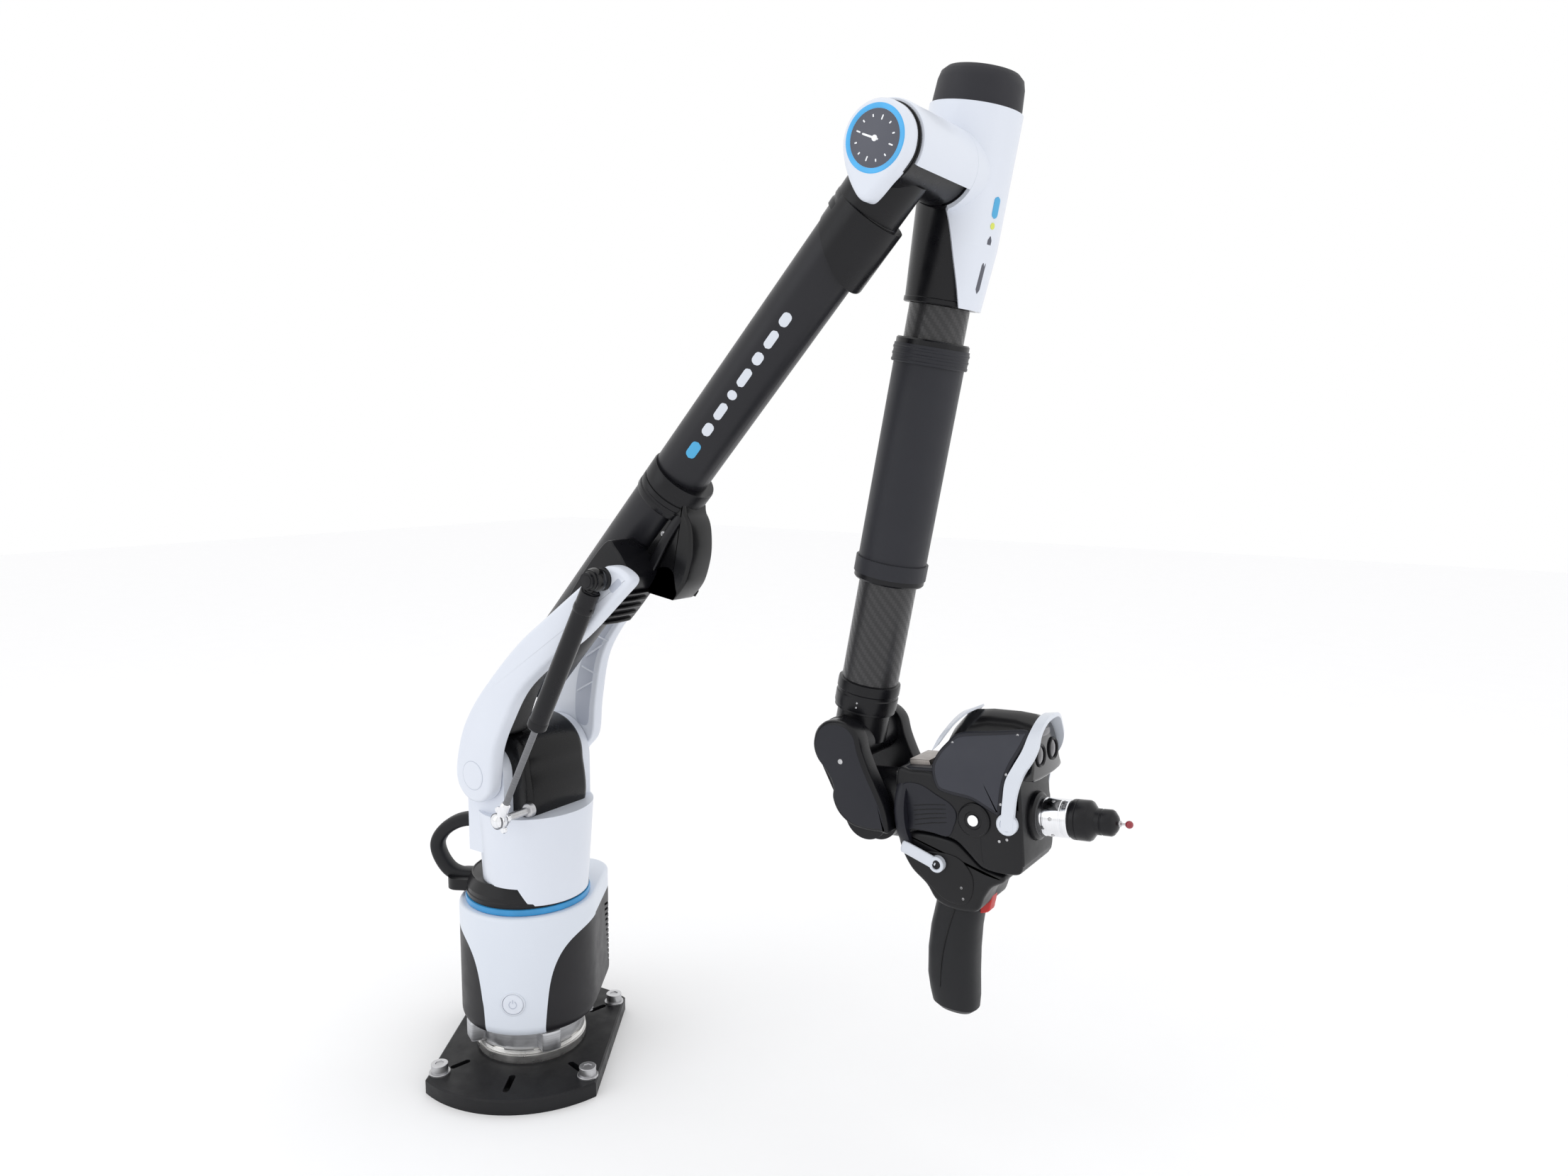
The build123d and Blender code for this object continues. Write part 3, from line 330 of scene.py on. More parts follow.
node_finish = {
    "base_plate": PLATE, "plate_screws": SCREW, "mount_ring": STEEL, "lock_nut": NUT, "base_frame": RING,
    "swivel_bearings": AXLE, "battery_pack": CASE, "base_housing": WHITE_LOW, "side_panel_right": PANEL,
    "side_panel_left": PANEL, "rear_cover": PANEL, "base_light_ring": BLUE, "power_button": WHITE_LOW,
    "swivel_shaft": AXLE, "turret_ring": BLACK, "turret_core": INSIDE, "turret_housing": WHITE,
    "shoulder_barrel": INSIDE, "shoulder_bearings": AXLE, "carry_handle": GRIP, "strut_bracket": PROBE,
    "fork_arm_near": WHITE, "fork_arm_far": WHITE, "fork_casting": SATIN, "shoulder_axle": AXLE,
    "strut_stud": SATIN, "parking_cradle": BLACK, "strut_cylinder": SATIN, "strut_rod": ROD, "upper_tube": TUBE,
    "tube_collars": SATIN, "elbow_yoke": SATIN, "disc_shell": WHITE, "disc_light_ring": SKY, "disc_face": DIAL,
    "elbow_axle": AXLE, "forearm_housing": SATIN, "elbow_cover": WHITE, "forearm_cap": CAP, "forearm_tube": CARBON,
    "forearm_sleeve": SLEEVE, "wrist_knuckle": SATIN, "wrist_yoke": SATIN, "yoke_covers": SCANNER,
    "wrist_axle": AXLE, "handle_ring": RING, "handle_body": SCANNER, "scanner_body": GLOSS,
    "scanner_covers": SCANNER, "front_frame": TRIM, "rear_trim": TRIM, "lens_bezel": LENS, "probe_mount": PROBE,
    "probe_body": SATIN, "stylus_tip": RUBY, "grip_mount": BLACK, "grip": GRIP, "grip_lever": TRIM,
    "trigger": RED, "mode_button": BUTTON,
}
for name, finish in node_finish.items():
    mesh = nodes[name].data
    mesh.materials.clear()
    mesh.materials.append(finish)


# ---------------------------------------------------------------- piece builders
def piece(name, link, points, faces, finish, body, hides=(), sharp=32.0):
    """A mesh from local millimetres, shaded smooth up to an edge angle, riding on a body."""
    mesh = bpy.data.meshes.new(name)
    mesh.from_pydata([link.at(*p) for p in points], [], faces)
    shape = bmesh.new()
    shape.from_mesh(mesh)
    bmesh.ops.remove_doubles(shape, verts=shape.verts, dist=1e-6)
    bmesh.ops.recalc_face_normals(shape, faces=shape.faces)
    shape.to_mesh(mesh)
    shape.free()
    mesh.shade_smooth()
    mesh.set_sharp_from_angle(angle=math.radians(sharp))
    mesh.materials.append(finish)
    made = bpy.data.objects.new(name, mesh)
    bpy.context.scene.collection.objects.link(made)
    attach(made, body)
    if hides:
        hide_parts(*hides)
    return made


def skin(rings, closed=False):
    """Points and faces of a surface through equally long rings. Open ends get caps."""
    count = len(rings[0])
    points = [p for ring in rings for p in ring]
    faces = []
    spans = len(rings) if closed else len(rings) - 1
    for i in range(spans):
        a, b = i * count, ((i + 1) % len(rings)) * count
        faces += [(a + k, a + (k + 1) % count, b + (k + 1) % count, b + k) for k in range(count)]
    if not closed:
        faces.append(tuple(range(count))[::-1])
        faces.append(tuple(range((len(rings) - 1) * count, len(rings) * count)))
    return points, faces


def turn_piece(name, link, profile, finish, body, hides=(), steps=72, hole=False, first=0.0, last=360.0):
    """A profile of (radius, height) turned round a link's axis, all the way or over an arc."""
    whole = last - first >= 360
    count = steps if whole else steps + 1
    rings = []
    for k in range(count):
        angle = math.radians(first + (last - first) * k / steps)
        rings.append([(r * math.cos(angle), r * math.sin(angle), h) for r, h in profile])
    if hole:
        points, faces = skin(rings, closed=whole)
    else:
        loops = [[(max(r, 0.01) * math.cos(2 * math.pi * k / steps), max(r,
            0.01) * math.sin(2 * math.pi * k / steps), h) for k in range(steps)] for r, h in profile]
        points, faces = skin(loops)
    return piece(name, link, points, faces, finish, body, hides)


def smooth(points, per=6, closed=True):
    """A Catmull-Rom curve through points of any dimension."""
    out = []
    count = len(points)
    spans = count if closed else count - 1
    for i in range(spans):
        if closed:
            a, b, c, d = (points[(i + j) % count] for j in (-1, 0, 1, 2))
        else:
            a, b, c, d = (points[min(max(i + j, 0), count - 1)] for j in (-1, 0, 1, 2))
        for k in range(per):
            t = k / per
            out.append(tuple(0.5 * (2 * q + (r - p) * t + (2 * p - 5 * q + 4 * r - s) * t * t + (3 * q - p - 3 * r + s) * t ** 3) for p, q, r, s in zip(a, b, c, d)))
    if not closed:
        out.append(tuple(points[-1]))
    return out


def inset(outline, distance):
    """A closed plane outline moved inwards along its corner normals."""
    area = sum(p[0] * q[1] - q[0] * p[1] for p, q in zip(outline, outline[1:] + outline[:1]))
    side = 1 if area > 0 else -1
    out = []
    for i, p in enumerate(outline):
        before, after = outline[i - 1], outline[(i + 1) % len(outline)]
        dx, dy = after[0] - before[0], after[1] - before[1]
        size = math.hypot(dx, dy) or 1.0
        out.append((p[0] - side * dy / size * distance, p[1] + side * dx / size * distance))
    return out


def slab(name, link, outline, low, high, soft, finish, body, hides=(), lift=None, back=None):
    """A plate with rounded rims: an outline between two heights. lift(x, y) adds height to its far face and rim."""
    back = soft if back is None else back
    rings = []
    for k in range(5):
        angle = math.radians(90 * k / 4)
        level, edge = low + back * (1 - math.sin(angle)), back * (1 - math.cos(angle))
        rings.insert(0, (level, edge))
    rings = rings[::-1] if rings[0][0] > rings[-1][0] else rings
    for k in range(5):
        angle = math.radians(90 * k / 4)
        rings.append((high - soft * (1 - math.sin(angle)), soft * (1 - math.cos(angle))))
    loops = []
    for level, edge in sorted(rings, key=lambda ring: ring[0]):
        loop = inset(outline, edge)
        loops.append([(x, y, level + (lift(x, y) if lift else 0.0)) for x, y in loop])
    if lift:
        rim = [(x, y) for x, y, _ in loops[-1]]
        cx, cy = sum(x for x, _ in rim) / len(rim), sum(y for _, y in rim) / len(rim)
        for share in (0.85, 0.7, 0.55, 0.4, 0.25, 0.1):
            inner = [(cx + (x - cx) * share, cy + (y - cy) * share) for x, y in rim]
            loops.append([(x, y, high + lift(x, y)) for x, y in inner])
    points, faces = skin(loops)
    return piece(name, link, points, faces, finish, body, hides)


def slab_pair(name, outline, low, high, soft, finish, body, hides=(), back=None):
    """A slab on the hand's near side and its mirror image on the far side."""
    back = soft if back is None else back
    slab(f"{name}_near", HAND_SIDE, outline, low, high, soft, finish, body, hides, back=back)
    slab(f"{name}_far", HAND_SIDE, outline, -high, -low, back, finish, body, back=soft)


def sweep(name, link, path, half_wide, half_thick, across, finish, body, hides=(), power=2.6):
    """A rounded bar along a smooth path. across is the local direction of its width."""
    corners = 20
    route = smooth(path, 8, closed=False)
    wide_axis = Vector(across).normalized()
    loops = []
    for i, p in enumerate(route):
        ahead = Vector(route[min(i + 1, len(route) - 1)]) - Vector(route[max(i - 1, 0)])
        thick_axis = ahead.normalized().cross(wide_axis).normalized()
        share = min(i, len(route) - 1 - i) / 2.0
        scale = 1.0 if share >= 1 else (0.55, 0.85)[min(1, int(share * 2))]
        loop = []
        for k in range(corners):
            c, s = math.cos(2 * math.pi * k / corners), math.sin(2 * math.pi * k / corners)
            w = half_wide * scale * math.copysign(abs(c) ** (2 / power), c)
            h = half_thick * scale * math.copysign(abs(s) ** (2 / power), s)
            loop.append(tuple(Vector(p) + wide_axis * w + thick_axis * h))
        loops.append(loop)
    points, faces = skin(loops)
    return piece(name, link, points, faces, finish, body, hides)


def strap(name, link, stations, thick, finish, body, hides=()):
    """A flat band over the hand. Each station is edge a1, b1, edge a2, b2, side y and the lean of its outer normal."""
    rows = smooth(stations, 5, closed=False)
    rows += [(a1, b1, a2, b2, -y, 180 - lean) for a1, b1, a2, b2, y, lean in rows[-2::-1]]
    loops = []
    for a1, b1, a2, b2, y, lean in rows:
        out, rise = math.cos(math.radians(lean)) * thick, math.sin(math.radians(lean)) * thick
        inner = [(a1, b1, y), ((a1 + a2) / 2, (b1 + b2) / 2, y), (a2, b2, y)]
        loops.append(inner + [(a, b + rise, y + out) for a, b,
            y in ((a2 - 0.5, b2 + (b1 - b2) * 0.04, y), ((a1 + a2) / 2, (b1 + b2) / 2, y), (a1 + 0.5,
            b1 + (b2 - b1) * 0.04, y))])
    points, faces = skin(loops)
    return piece(name, link, points, faces, finish, body, hides, sharp=40)


def ball(name, link, radius, finish, body, hides=(), flat=0.0):
    """A ball, cut flat at both poles if asked."""
    count = 20
    limit = math.pi / 2 - math.asin(min(0.99, flat)) if flat else math.pi / 2
    profile = [(radius * math.cos(limit * (2 * k / count - 1)),
        radius * math.sin(limit * (2 * k / count - 1))) for k in range(count + 1)]
    return turn_piece(name, link, profile, finish, body, hides, steps=40)


def cap_screw(name, link, radius, tall, finish, body):
    """A round screw head with a recessed socket."""
    loops = []
    for r, h, angular in ((radius, 0, False), (radius, tall - 0.4, False), (radius - 0.4, tall, False),
                          (radius * 0.55, tall, True), (radius * 0.52, tall * 0.45, True)):
        loop = []
        for k in range(48):
            angle = 2 * math.pi * k / 48
            reach = r
            if angular:
                step = math.pi / 6
                reach = r * math.cos(step) / math.cos((angle % (2 * step)) - step)
            loop.append((reach * math.cos(angle), reach * math.sin(angle), h))
        loops.append(loop)
    points, faces = skin(loops)
    return piece(name, link, points, faces, finish, body)


def patch(name, link, radius, start, end, middle, half, finish, body, taper=0.0):
    """A thin mark wrapped on a round surface, with rounded ends. taper is the radius lost per millimetre."""
    proud, sunk = 0.25, 0.4
    loops = []
    count = 14
    for i in range(count + 1):
        share = i / count
        t = start + (end - start) * share
        near_end = min(t - start, end - t)
        reach = half if near_end >= half else math.sqrt(max(0.02, half * half - (half - near_end) ** 2))
        r = radius - taper * (t - start)
        angles = [math.radians(middle) + reach / r * k / 4 for k in range(-4, 5)]
        top = [((r + proud) * math.cos(q), (r + proud) * math.sin(q), t) for q in angles]
        low = [((r - sunk) * math.cos(q), (r - sunk) * math.sin(q), t) for q in reversed(angles)]
        loops.append(top + low)
    points, faces = skin(loops)
    return piece(name, link, points, faces, finish, body)


# ---------------------------------------------------------------- fork
near_outline = smooth([(25, 2), (30, 28), (43.6, 55), (66, 88), (103, 118), (140, 143), (182, 180),
    (196, 194), (190, 202), (175, 206), (158, 199), (100, 158), (59, 127), (13, 81), (-10, 50), (-20, 26),
    (-25, 2), (-22, -13), (-12, -23), (0, -26), (12, -23), (22, -13)])
slab("fork_arm_near_skin", SHOULDER, near_outline, 50.8, 64.5, 4.5, WHITE, "fork", ("fork_arm_near",),
    back=1.5)
far_outline = smooth([(25, 2), (40, 20), (44.5, 54), (54, 98), (72, 128), (96, 153), (119, 178), (117, 190),
    (106, 190), (84, 166), (56, 137), (26, 104), (-3, 66), (-20, 30), (-25, 2), (-22, -13), (-12, -23),
    (0, -26), (12, -23), (22, -13)])
slab("fork_arm_far_skin", SHOULDER, far_outline, -64.5, -50.8, 2.0, WHITE, "fork", ("fork_arm_far",),
    back=4.5)
# The far arm's recessed inner panel, drawn as a thin grey sheet proud of the white face: painted shade of the recess,
# with white ribs laid on it.
channel = smooth([(34, 30), (38, 54), (47, 98), (66, 128), (92, 154), (88, 160), (60, 133), (34, 104),
    (22, 78), (18, 50), (20, 32)])
slab("fork_channel", SHOULDER, channel, -51.2, -50.45, 0.3, PAINTED_SHADE_AND_PRINT_GREY, "fork")
for number, (x1, y1, x2, y2) in enumerate(((21, 62, 42, 74), (28, 88, 47, 82), (34, 98, 56, 112), (50, 120, 64, 116))):
    sweep(f"fork_rib_{number}", SHOULDER, [(x1, y1, -50.6), ((x1 + x2) / 2, (y1 + y2) / 2, -50.3),
        (x2, y2, -50.6)], 1.2, 0.8, (0, 0, 1), WHITE, "fork")
for sign, name in ((1, "near"), (-1, "far")):
    link = Link(SHOULDER.origin, SHOULDER.x, SHOULDER.z * sign)
    turn_piece(f"shoulder_cap_{name}", link, [(0, 63), (13.2, 63), (13.2, 64.7), (12.6, 65.1), (11.6, 65.2),
        (0, 65.2)], WHITE, "fork")
    # A grey ring in place of the groove round the cap: painted shade of the groove.
    turn_piece(f"shoulder_cap_groove_{name}", link, [(13.2, 64), (13.7, 64), (13.7, 64.62), (13.2, 64.62)],
        PAINTED_SHADE_AND_PRINT_GREY, "fork", hole=True)
# The shallow slot near the strut stud, drawn as a thin grey bar on the arm: painted shade of the recess.
sweep("fork_slot", SHOULDER, [(176, 186, 64.4), (181, 190, 64.5), (187, 195, 64.4)], 0.5, 3.0, (0, 0, 1),
    PAINTED_SHADE_AND_PRINT_GREY, "fork")

cradle = smooth([(327, 24), (327, 35), (322, 46), (309, 59), (296, 67), (281, 72.5), (264, 72.5), (263, 70.5),
    (270, 69.5), (263, 66.5), (258, 65.2), (259, 63.5), (267, 62.8), (275.5, 60.5), (278.6, 57),
    (277.5, 51.5), (270, 46), (258, 42), (246, 44.5), (240, 42), (242, 34), (250, 24)], 5)
slab("cradle_skin", UPPER_SIDE, [(x, -y) for x, y in cradle], -15, 15, 3.0, GLOSS, "fork",
    ("parking_cradle",))
sweep("cradle_web", UPPER_SIDE, [(322, -31, 14), (300, -34, 17), (270, -40, 18), (246, -41, 17)], 2.2, 4.2,
    (0, 0, 1), SATIN, "fork")
for t, y in ((300, -30), (252, -40)):
    cap_screw(f"cradle_screw_{t}", UPPER_SIDE.shifted(t, y, 16.8), 2.4, 1.6, SCREW, "fork")
turn_piece("fork_tube_skin", UPPER, [(0, 62), (12, 62), (17, 65), (22.5, 72), (24.3, 80), (24.3, 313),
    (0, 313)], TUBE, "fork", ("fork_casting",), steps=96)
block_plan = smooth([(203, -14), (205, -30), (209, -44), (214, -48), (262, -47), (272, -40), (276, -20),
    (270, -8), (215, -8)], 5)
slab("fork_block", UPPER_SIDE, block_plan, 6, 50.6, 1.5, SATIN, "fork")
for number in range(5):
    sweep(f"fork_fin_{number}", UPPER_SIDE, [(214 + 9 * number, -48.2, 10), (214 + 9 * number, -48.8, 28),
        (214 + 9 * number, -48.2, 45)], 1.6, 2.2, (1, 0, 0), GLOSS, "fork")
web_plan = smooth([(60, 96), (84, 122), (96, 140), (80, 134), (52, 108), (24, 80), (4, 58), (-12, 42),
    (2, 43.2), (16, 40.4), (26, 38), (30, 44), (38, 64), (48, 82)], 5)
slab("fork_web", SHOULDER, web_plan, 20, 50.6, 4.0, INSIDE, "fork")
core_plan = smooth([(43, 0), (41.5, 14), (36, 26), (26, 35.5), (14, 41), (0, 43), (-14, 41), (-27, 34),
    (-37, 22), (-42, 6), (-42, -14), (-40, -40), (-28, -56), (0, -60), (28, -56), (43, -44), (46.5, -30),
    (45.5, -14)], 5)
slab("shoulder_core_skin", SHOULDER, core_plan, -38.8, 38.8, 7.0, INSIDE, "turret", ("shoulder_barrel",))
turn_piece("tube_ring_fixed", UPPER.shifted(3.6, 0, 0), [(28.2, 313), (28.6, 314), (28.6, 318), (27.8, 319),
    (27.8, 321), (28.6, 322), (28.6, 325.6), (28.1, 326.4), (24, 326.4), (24, 313)], SATIN, "fork", hole=True)
turn_piece("tube_ring_turning", UPPER.shifted(3.6, 0, 0), [(28.2, 327.4), (28.6, 328), (28.6, 341.5),
    (27.8, 342.8), (24.4, 342.8), (24.4, 327.4)], SATIN, "upper_arm", hole=True)

# ---------------------------------------------------------------- strut
ball("strut_ball_top", STRUT, 10.2, GLOSS, "strut_tube")
turn_piece("strut_stud_boss", SHOULDER.shifted(*STRUT_STUD), [(0, 63), (9.5, 63), (9.5, 66), (7, 68.5),
    (5, 69), (0, 69)], SATIN, "fork")
turn_piece("strut_stud_cap", SHOULDER.shifted(*STRUT_STUD), [(0, 80), (5.5, 80), (6.2, 82), (5, 84.8),
    (0, 85.2)], SATIN, "fork")
hexagon = [(7.4 * math.cos(math.radians(60 * k)), 7.4 * math.sin(math.radians(60 * k))) for k in range(6)]
slab("strut_hex", STRUT, hexagon, 9.5, 15.5, 0.5, SATIN, "strut_tube")
turn_piece("strut_collar", STRUT, [(6.4, 15), (6.8, 16), (6.8, 21), (8.7, 24), (8.9, 26), (8.9, 29),
    (8.5, 30)], SATIN, "strut_tube", steps=48)
turn_piece("strut_gland", STRUT, [(8.45, 143), (8.8, 144), (8.8, 150), (7.6, 151.6), (3.4, 152)], SATIN,
    "strut_tube", steps=48)
strut_length = (STRUT_END - STRUT.origin).length / MM
STRUT_FOOT = STRUT.shifted(0, 0, strut_length)
ball("strut_ball_foot", STRUT_FOOT, 7.9, PROBE, "strut_piston")
turn_piece("strut_foot_neck", STRUT, [(3.3, strut_length - 20), (4.6, strut_length - 18),
    (4.6, strut_length - 6), (3.4, strut_length - 5)], PROBE, "strut_piston", steps=40)
foot_link = Link(STRUT_FOOT.origin, (1, 0, 0), NEAR)
for number, angle in enumerate((20, 110, 200, 290)):
    spot = (9.5 * math.cos(math.radians(angle)), 9.5 * math.sin(math.radians(angle)), -2.0)
    ball(f"strut_foot_nut_{number}", foot_link.shifted(*spot), 3.2, PROBE, "strut_piston", flat=0.75)
turn_piece("strut_foot_pin", foot_link, [(0, -12), (3.6, -12), (3.6, 5), (3, 6.4), (0, 6.6)], PROBE,
    "strut_piston", steps=32)
turn_piece("strut_bracket_skin", foot_link, [(0, -38), (6.4, -38), (6.4, -33), (5.6, -32), (3.6, -31.6),
    (3.6, -9), (5.2, -8.6), (5.2, -6), (0, -6)], SCREW, "turret", ("strut_bracket",), steps=40)

# ---------------------------------------------------------------- carry handle and turret
CARRY = Link(GROUND, Vector((math.cos(math.radians(210)), math.sin(math.radians(210)), 0)),
    Vector((math.sin(math.radians(210)), -math.cos(math.radians(210)), 0)))
sweep("carry_handle_skin", CARRY, [(30, 235, 0), (40, 237, 0), (56, 237.5, 0), (70, 234, 0), (83, 225, 0),
    (90, 213, 0), (88, 200, 0), (80, 187, 0), (70, 181, 0), (56, 179.5, 0), (44, 180, 0)], 8.4, 6.6,
    (0, 0, 1), GRIP, "turret", ("carry_handle",), power=3.0)
turn_piece("turret_seam", TURRET, [(52.2, 189.6), (53.4, 189.6), (53.4, 190.6), (52.2, 190.6)], INSIDE,
    "turret", hole=True)
turn_piece("turret_foot_bead", TURRET, [(57.6, 171), (58.7, 172), (58.7, 175), (57.9, 176), (57, 176),
    (57, 171)], SATIN, "turret", hole=True)

# ---------------------------------------------------------------- base
button_link = BASE_FRONT.shifted(0, 81, 0)
turn_piece("power_bezel", button_link, [(10.1, 65.2), (11.6, 65.2), (11.4, 66.5), (10.6, 66.9), (10.1, 66.5)],
    TRIM, "base", hole=True)
turn_piece("power_cap", button_link, [(0, 60), (9.8, 60), (9.8, 66.3), (9.0, 67), (0, 67.3)], WHITE,
    "power_switch", ("power_button",))
turn_piece("power_mark_ring", button_link, [(3.2, 67.0), (3.9, 67.0), (3.9, 67.5), (3.2, 67.5)], PAINTED_SHADE_AND_PRINT_GREY,
    "power_switch", hole=True, first=-240, last=60)
sweep("power_mark_bar", button_link, [(0, 1.2, 67.3), (0, 3.2, 67.3), (0, 5.0, 67.2)], 0.4, 0.35, (1, 0, 0),
    PAINTED_SHADE_AND_PRINT_GREY, "power_switch")
turn_piece("light_ring_skin", BASE, [(57.9, 164.2), (59.6, 164.6), (59.9, 166), (59.9, 168.6), (59.4, 170),
    (57.5, 170.3), (50, 170.3), (50, 164.2)], BLUE, "base", ("base_light_ring",), hole=True)
for number in range(4):
    angle = math.radians(45 + 90 * number)
    cap_screw(f"plate_cap_screw_{number}", BASE.shifted(BOLT_CIRCLE * math.cos(angle),
        BOLT_CIRCLE * math.sin(angle), 22.2), 7.9, 1.4, SCREW, "base")
    turn_piece(f"plate_washer_{number}", BASE.shifted(BOLT_CIRCLE * math.cos(angle),
        BOLT_CIRCLE * math.sin(angle), 0), [(5.6, 14), (9.8, 14), (9.8, 15.4), (9.4, 15.8), (5.6, 15.8)],
        SCREW, "base", hole=True)
    angle = math.radians(32 + 90 * number)
    lug = Link(GROUND, BASE.x * math.cos(angle) + BASE.y * math.sin(angle), UP)
    lug_plan = smooth([(46, -9.2), (58, -9.4), (62.2, -7.5), (63, 0), (62.2, 7.5), (58, 9.4), (46, 9.2)], 4)
    slab(f"nut_lug_{number}", lug, lug_plan, 28.6, 47.4, 1.8, NUT, "base")
turn_piece("ring_shoulder", BASE, [(52, 15), (53.2, 16), (53.2, 21.5), (52, 22.2), (50, 22.2), (50, 15)],
    STEEL, "base", hole=True)
turn_piece("ring_thread", BASE, [(52.1, 23), (52.6, 23.6), (51.9, 24.2), (52.6, 24.8), (51.9, 25.4),
    (52.6, 26), (51.9, 26.6), (50, 26.6), (50, 23)], STEEL, "base", hole=True)

# ---------------------------------------------------------------- upper tube marks
patch("tube_mark_pill", UPPER, TUBE_RADIUS, 368, 384, -66, 4.2, SKY_MARK, "upper_arm")
for number, (start, end) in enumerate(((392, 404), (409, 425), (430, 438), (443, 460), (465, 476), (481, 497), (502, 514))):
    patch(f"tube_mark_{number}", UPPER, TUBE_RADIUS, start, end, -66, 3.4 if number % 2 else 3.9, TRIM,
        "upper_arm")

# ---------------------------------------------------------------- elbow
teardrop = smooth([(26.8, 0), (24.5, 11), (18.2, 19.7), (8, 25.6), (-4, 26.5), (-16, 21.5), (-25, 12),
    (-31, 2), (-35, -8), (-36.5, -16), (-34, -22), (-27, -24), (-16, -25), (-4, -26.5), (8, -25.6),
    (18.2, -19.7), (24.5, -11)])
slab("disc_skin", ELBOW, teardrop, 33.5, 47.0, 4.5, WHITE, "upper_arm",
    ("disc_shell", "disc_light_ring", "disc_face"), back=1.0)
turn_piece("disc_gap", ELBOW, [(27.3, 31.4), (27.9, 31.9), (27.9, 33.2), (27.3, 33.7), (24, 33.7),
    (24, 31.4)], INSIDE, "upper_arm", hole=True)
turn_piece("disc_ring", ELBOW, [(19.3, 45), (22.9, 45), (22.9, 47.0), (22.3, 47.4), (19.9, 47.4),
    (19.3, 47.1)], SKY, "upper_arm", hole=True)
turn_piece("disc_dial", ELBOW, [(0, 45), (19.4, 45), (19.4, 46.9), (19.0, 47.15), (0, 47.3)], DIAL,
    "upper_arm")
for number in range(12):
    angle = math.radians(30 * number + 17)
    long = 3.4 if number % 3 == 0 else 1.9
    first, last = 15.6 - long, 15.6
    c, s = math.cos(angle), math.sin(angle)
    sweep(f"dial_tick_{number}", ELBOW, [(first * c, first * s, 47.25),
        ((first + last) / 2 * c, (first + last) / 2 * s, 47.3), (last * c, last * s, 47.25)], 0.5, 0.2,
        (-s, c, 0), BUTTON, "upper_arm")
c, s = math.cos(DIAL_ANGLE), math.sin(DIAL_ANGLE)
sweep("dial_hand", ELBOW, [(-3 * c, -3 * s, 47.35), (3 * c, 3 * s, 47.4), (10.5 * c, 10.5 * s, 47.35)], 0.7,
    0.25, (-s, c, 0), BUTTON, "upper_arm")
turn_piece("dial_hub", ELBOW, [(0, 47.1), (2.2, 47.1), (2.0, 47.8), (0, 48)], BUTTON, "upper_arm", steps=32)
turn_piece("elbow_barrel_cover", ELBOW, [(27.4, 31.0), (29.4, 31.0), (30.2, 30.0), (30.6, 26), (31.0, -51),
    (27.4, -51)], WHITE, "upper_arm", hole=True, first=-84, last=118, steps=60)
turn_piece("elbow_neck_ring", UPPER, [(24.3, 590), (26.4, 591), (26.4, 596), (25.8, 597), (25.8, 599),
    (26.4, 600), (26.4, 604), (25.6, 605), (22, 605), (22, 590)], SATIN, "upper_arm", hole=True)
turn_piece("forearm_cap_skin", FORE, [(0, -79.0), (20, -79.0), (28, -77.6), (31.8, -74), (33.4, -68),
    (34.5, -54), (34.6, -50.4), (30, -50.4)], CAP, "elbow", ("forearm_cap",), steps=96)
turn_piece("cap_gap", FORE, [(33.6, -50.6), (34.2, -50.6), (34.2, -49.8), (33.6, -49.8)], INSIDE, "elbow",
    hole=True)
turn_piece("housing_foot", FORE, [(28.3, 92), (29.4, 93), (29.4, 96.2), (28.6, 97), (24, 97), (24, 92)],
    SATIN, "elbow", hole=True)
patch("cover_mark_pill", FORE, 36.35, 12, 28, 12, 3.4, SKY_MARK, "elbow")
patch("cover_mark_dot", FORE, 36.35, 31, 36, 12, 2.4, LIME, "elbow")
patch("cover_mark_bar", FORE, 36.35, 41, 84, 12, 2.3, DIAL, "elbow", taper=0.065)

# ---------------------------------------------------------------- forearm
for number, t in enumerate((131, 136, 141)):
    turn_piece(f"sleeve_top_ridge_{number}", FORE, [(30.3, t), (31.0, t + 0.8), (31.0, t + 2.2),
        (30.3, t + 3), (29, t + 3), (29, t)], SLEEVE, "forearm", hole=True)
turn_piece("sleeve_top_band", FORE, [(24.6, 124), (28.5, 124), (29.6, 125.2), (29.6, 129), (24.6, 129)],
    SATIN, "forearm", hole=True)
turn_piece("sleeve_foot_band", FORE, [(24.6, 318), (29.6, 318), (29.6, 322), (28.5, 323.4), (24.6, 323.4)],
    SATIN, "forearm", hole=True)
turn_piece("wrist_collar_skin", FORE, [(24.6, 411), (26.6, 411.8), (26.9, 414), (26.9, 420), (26.2, 421),
    (26.2, 423), (26.9, 424), (26.9, 433), (25.6, 437.5), (20, 437.6), (20, 411)], SATIN, "forearm",
    hole=True)
for t in (427, 431):
    cap_screw(f"wrist_collar_screw_{t}", Link(FORE.at(5.5, 26.2, t), FORE.z, (FORE.x * 5.5 + FORE.y * 26.2)),
        0.9, 0.6, SCREW, "forearm")

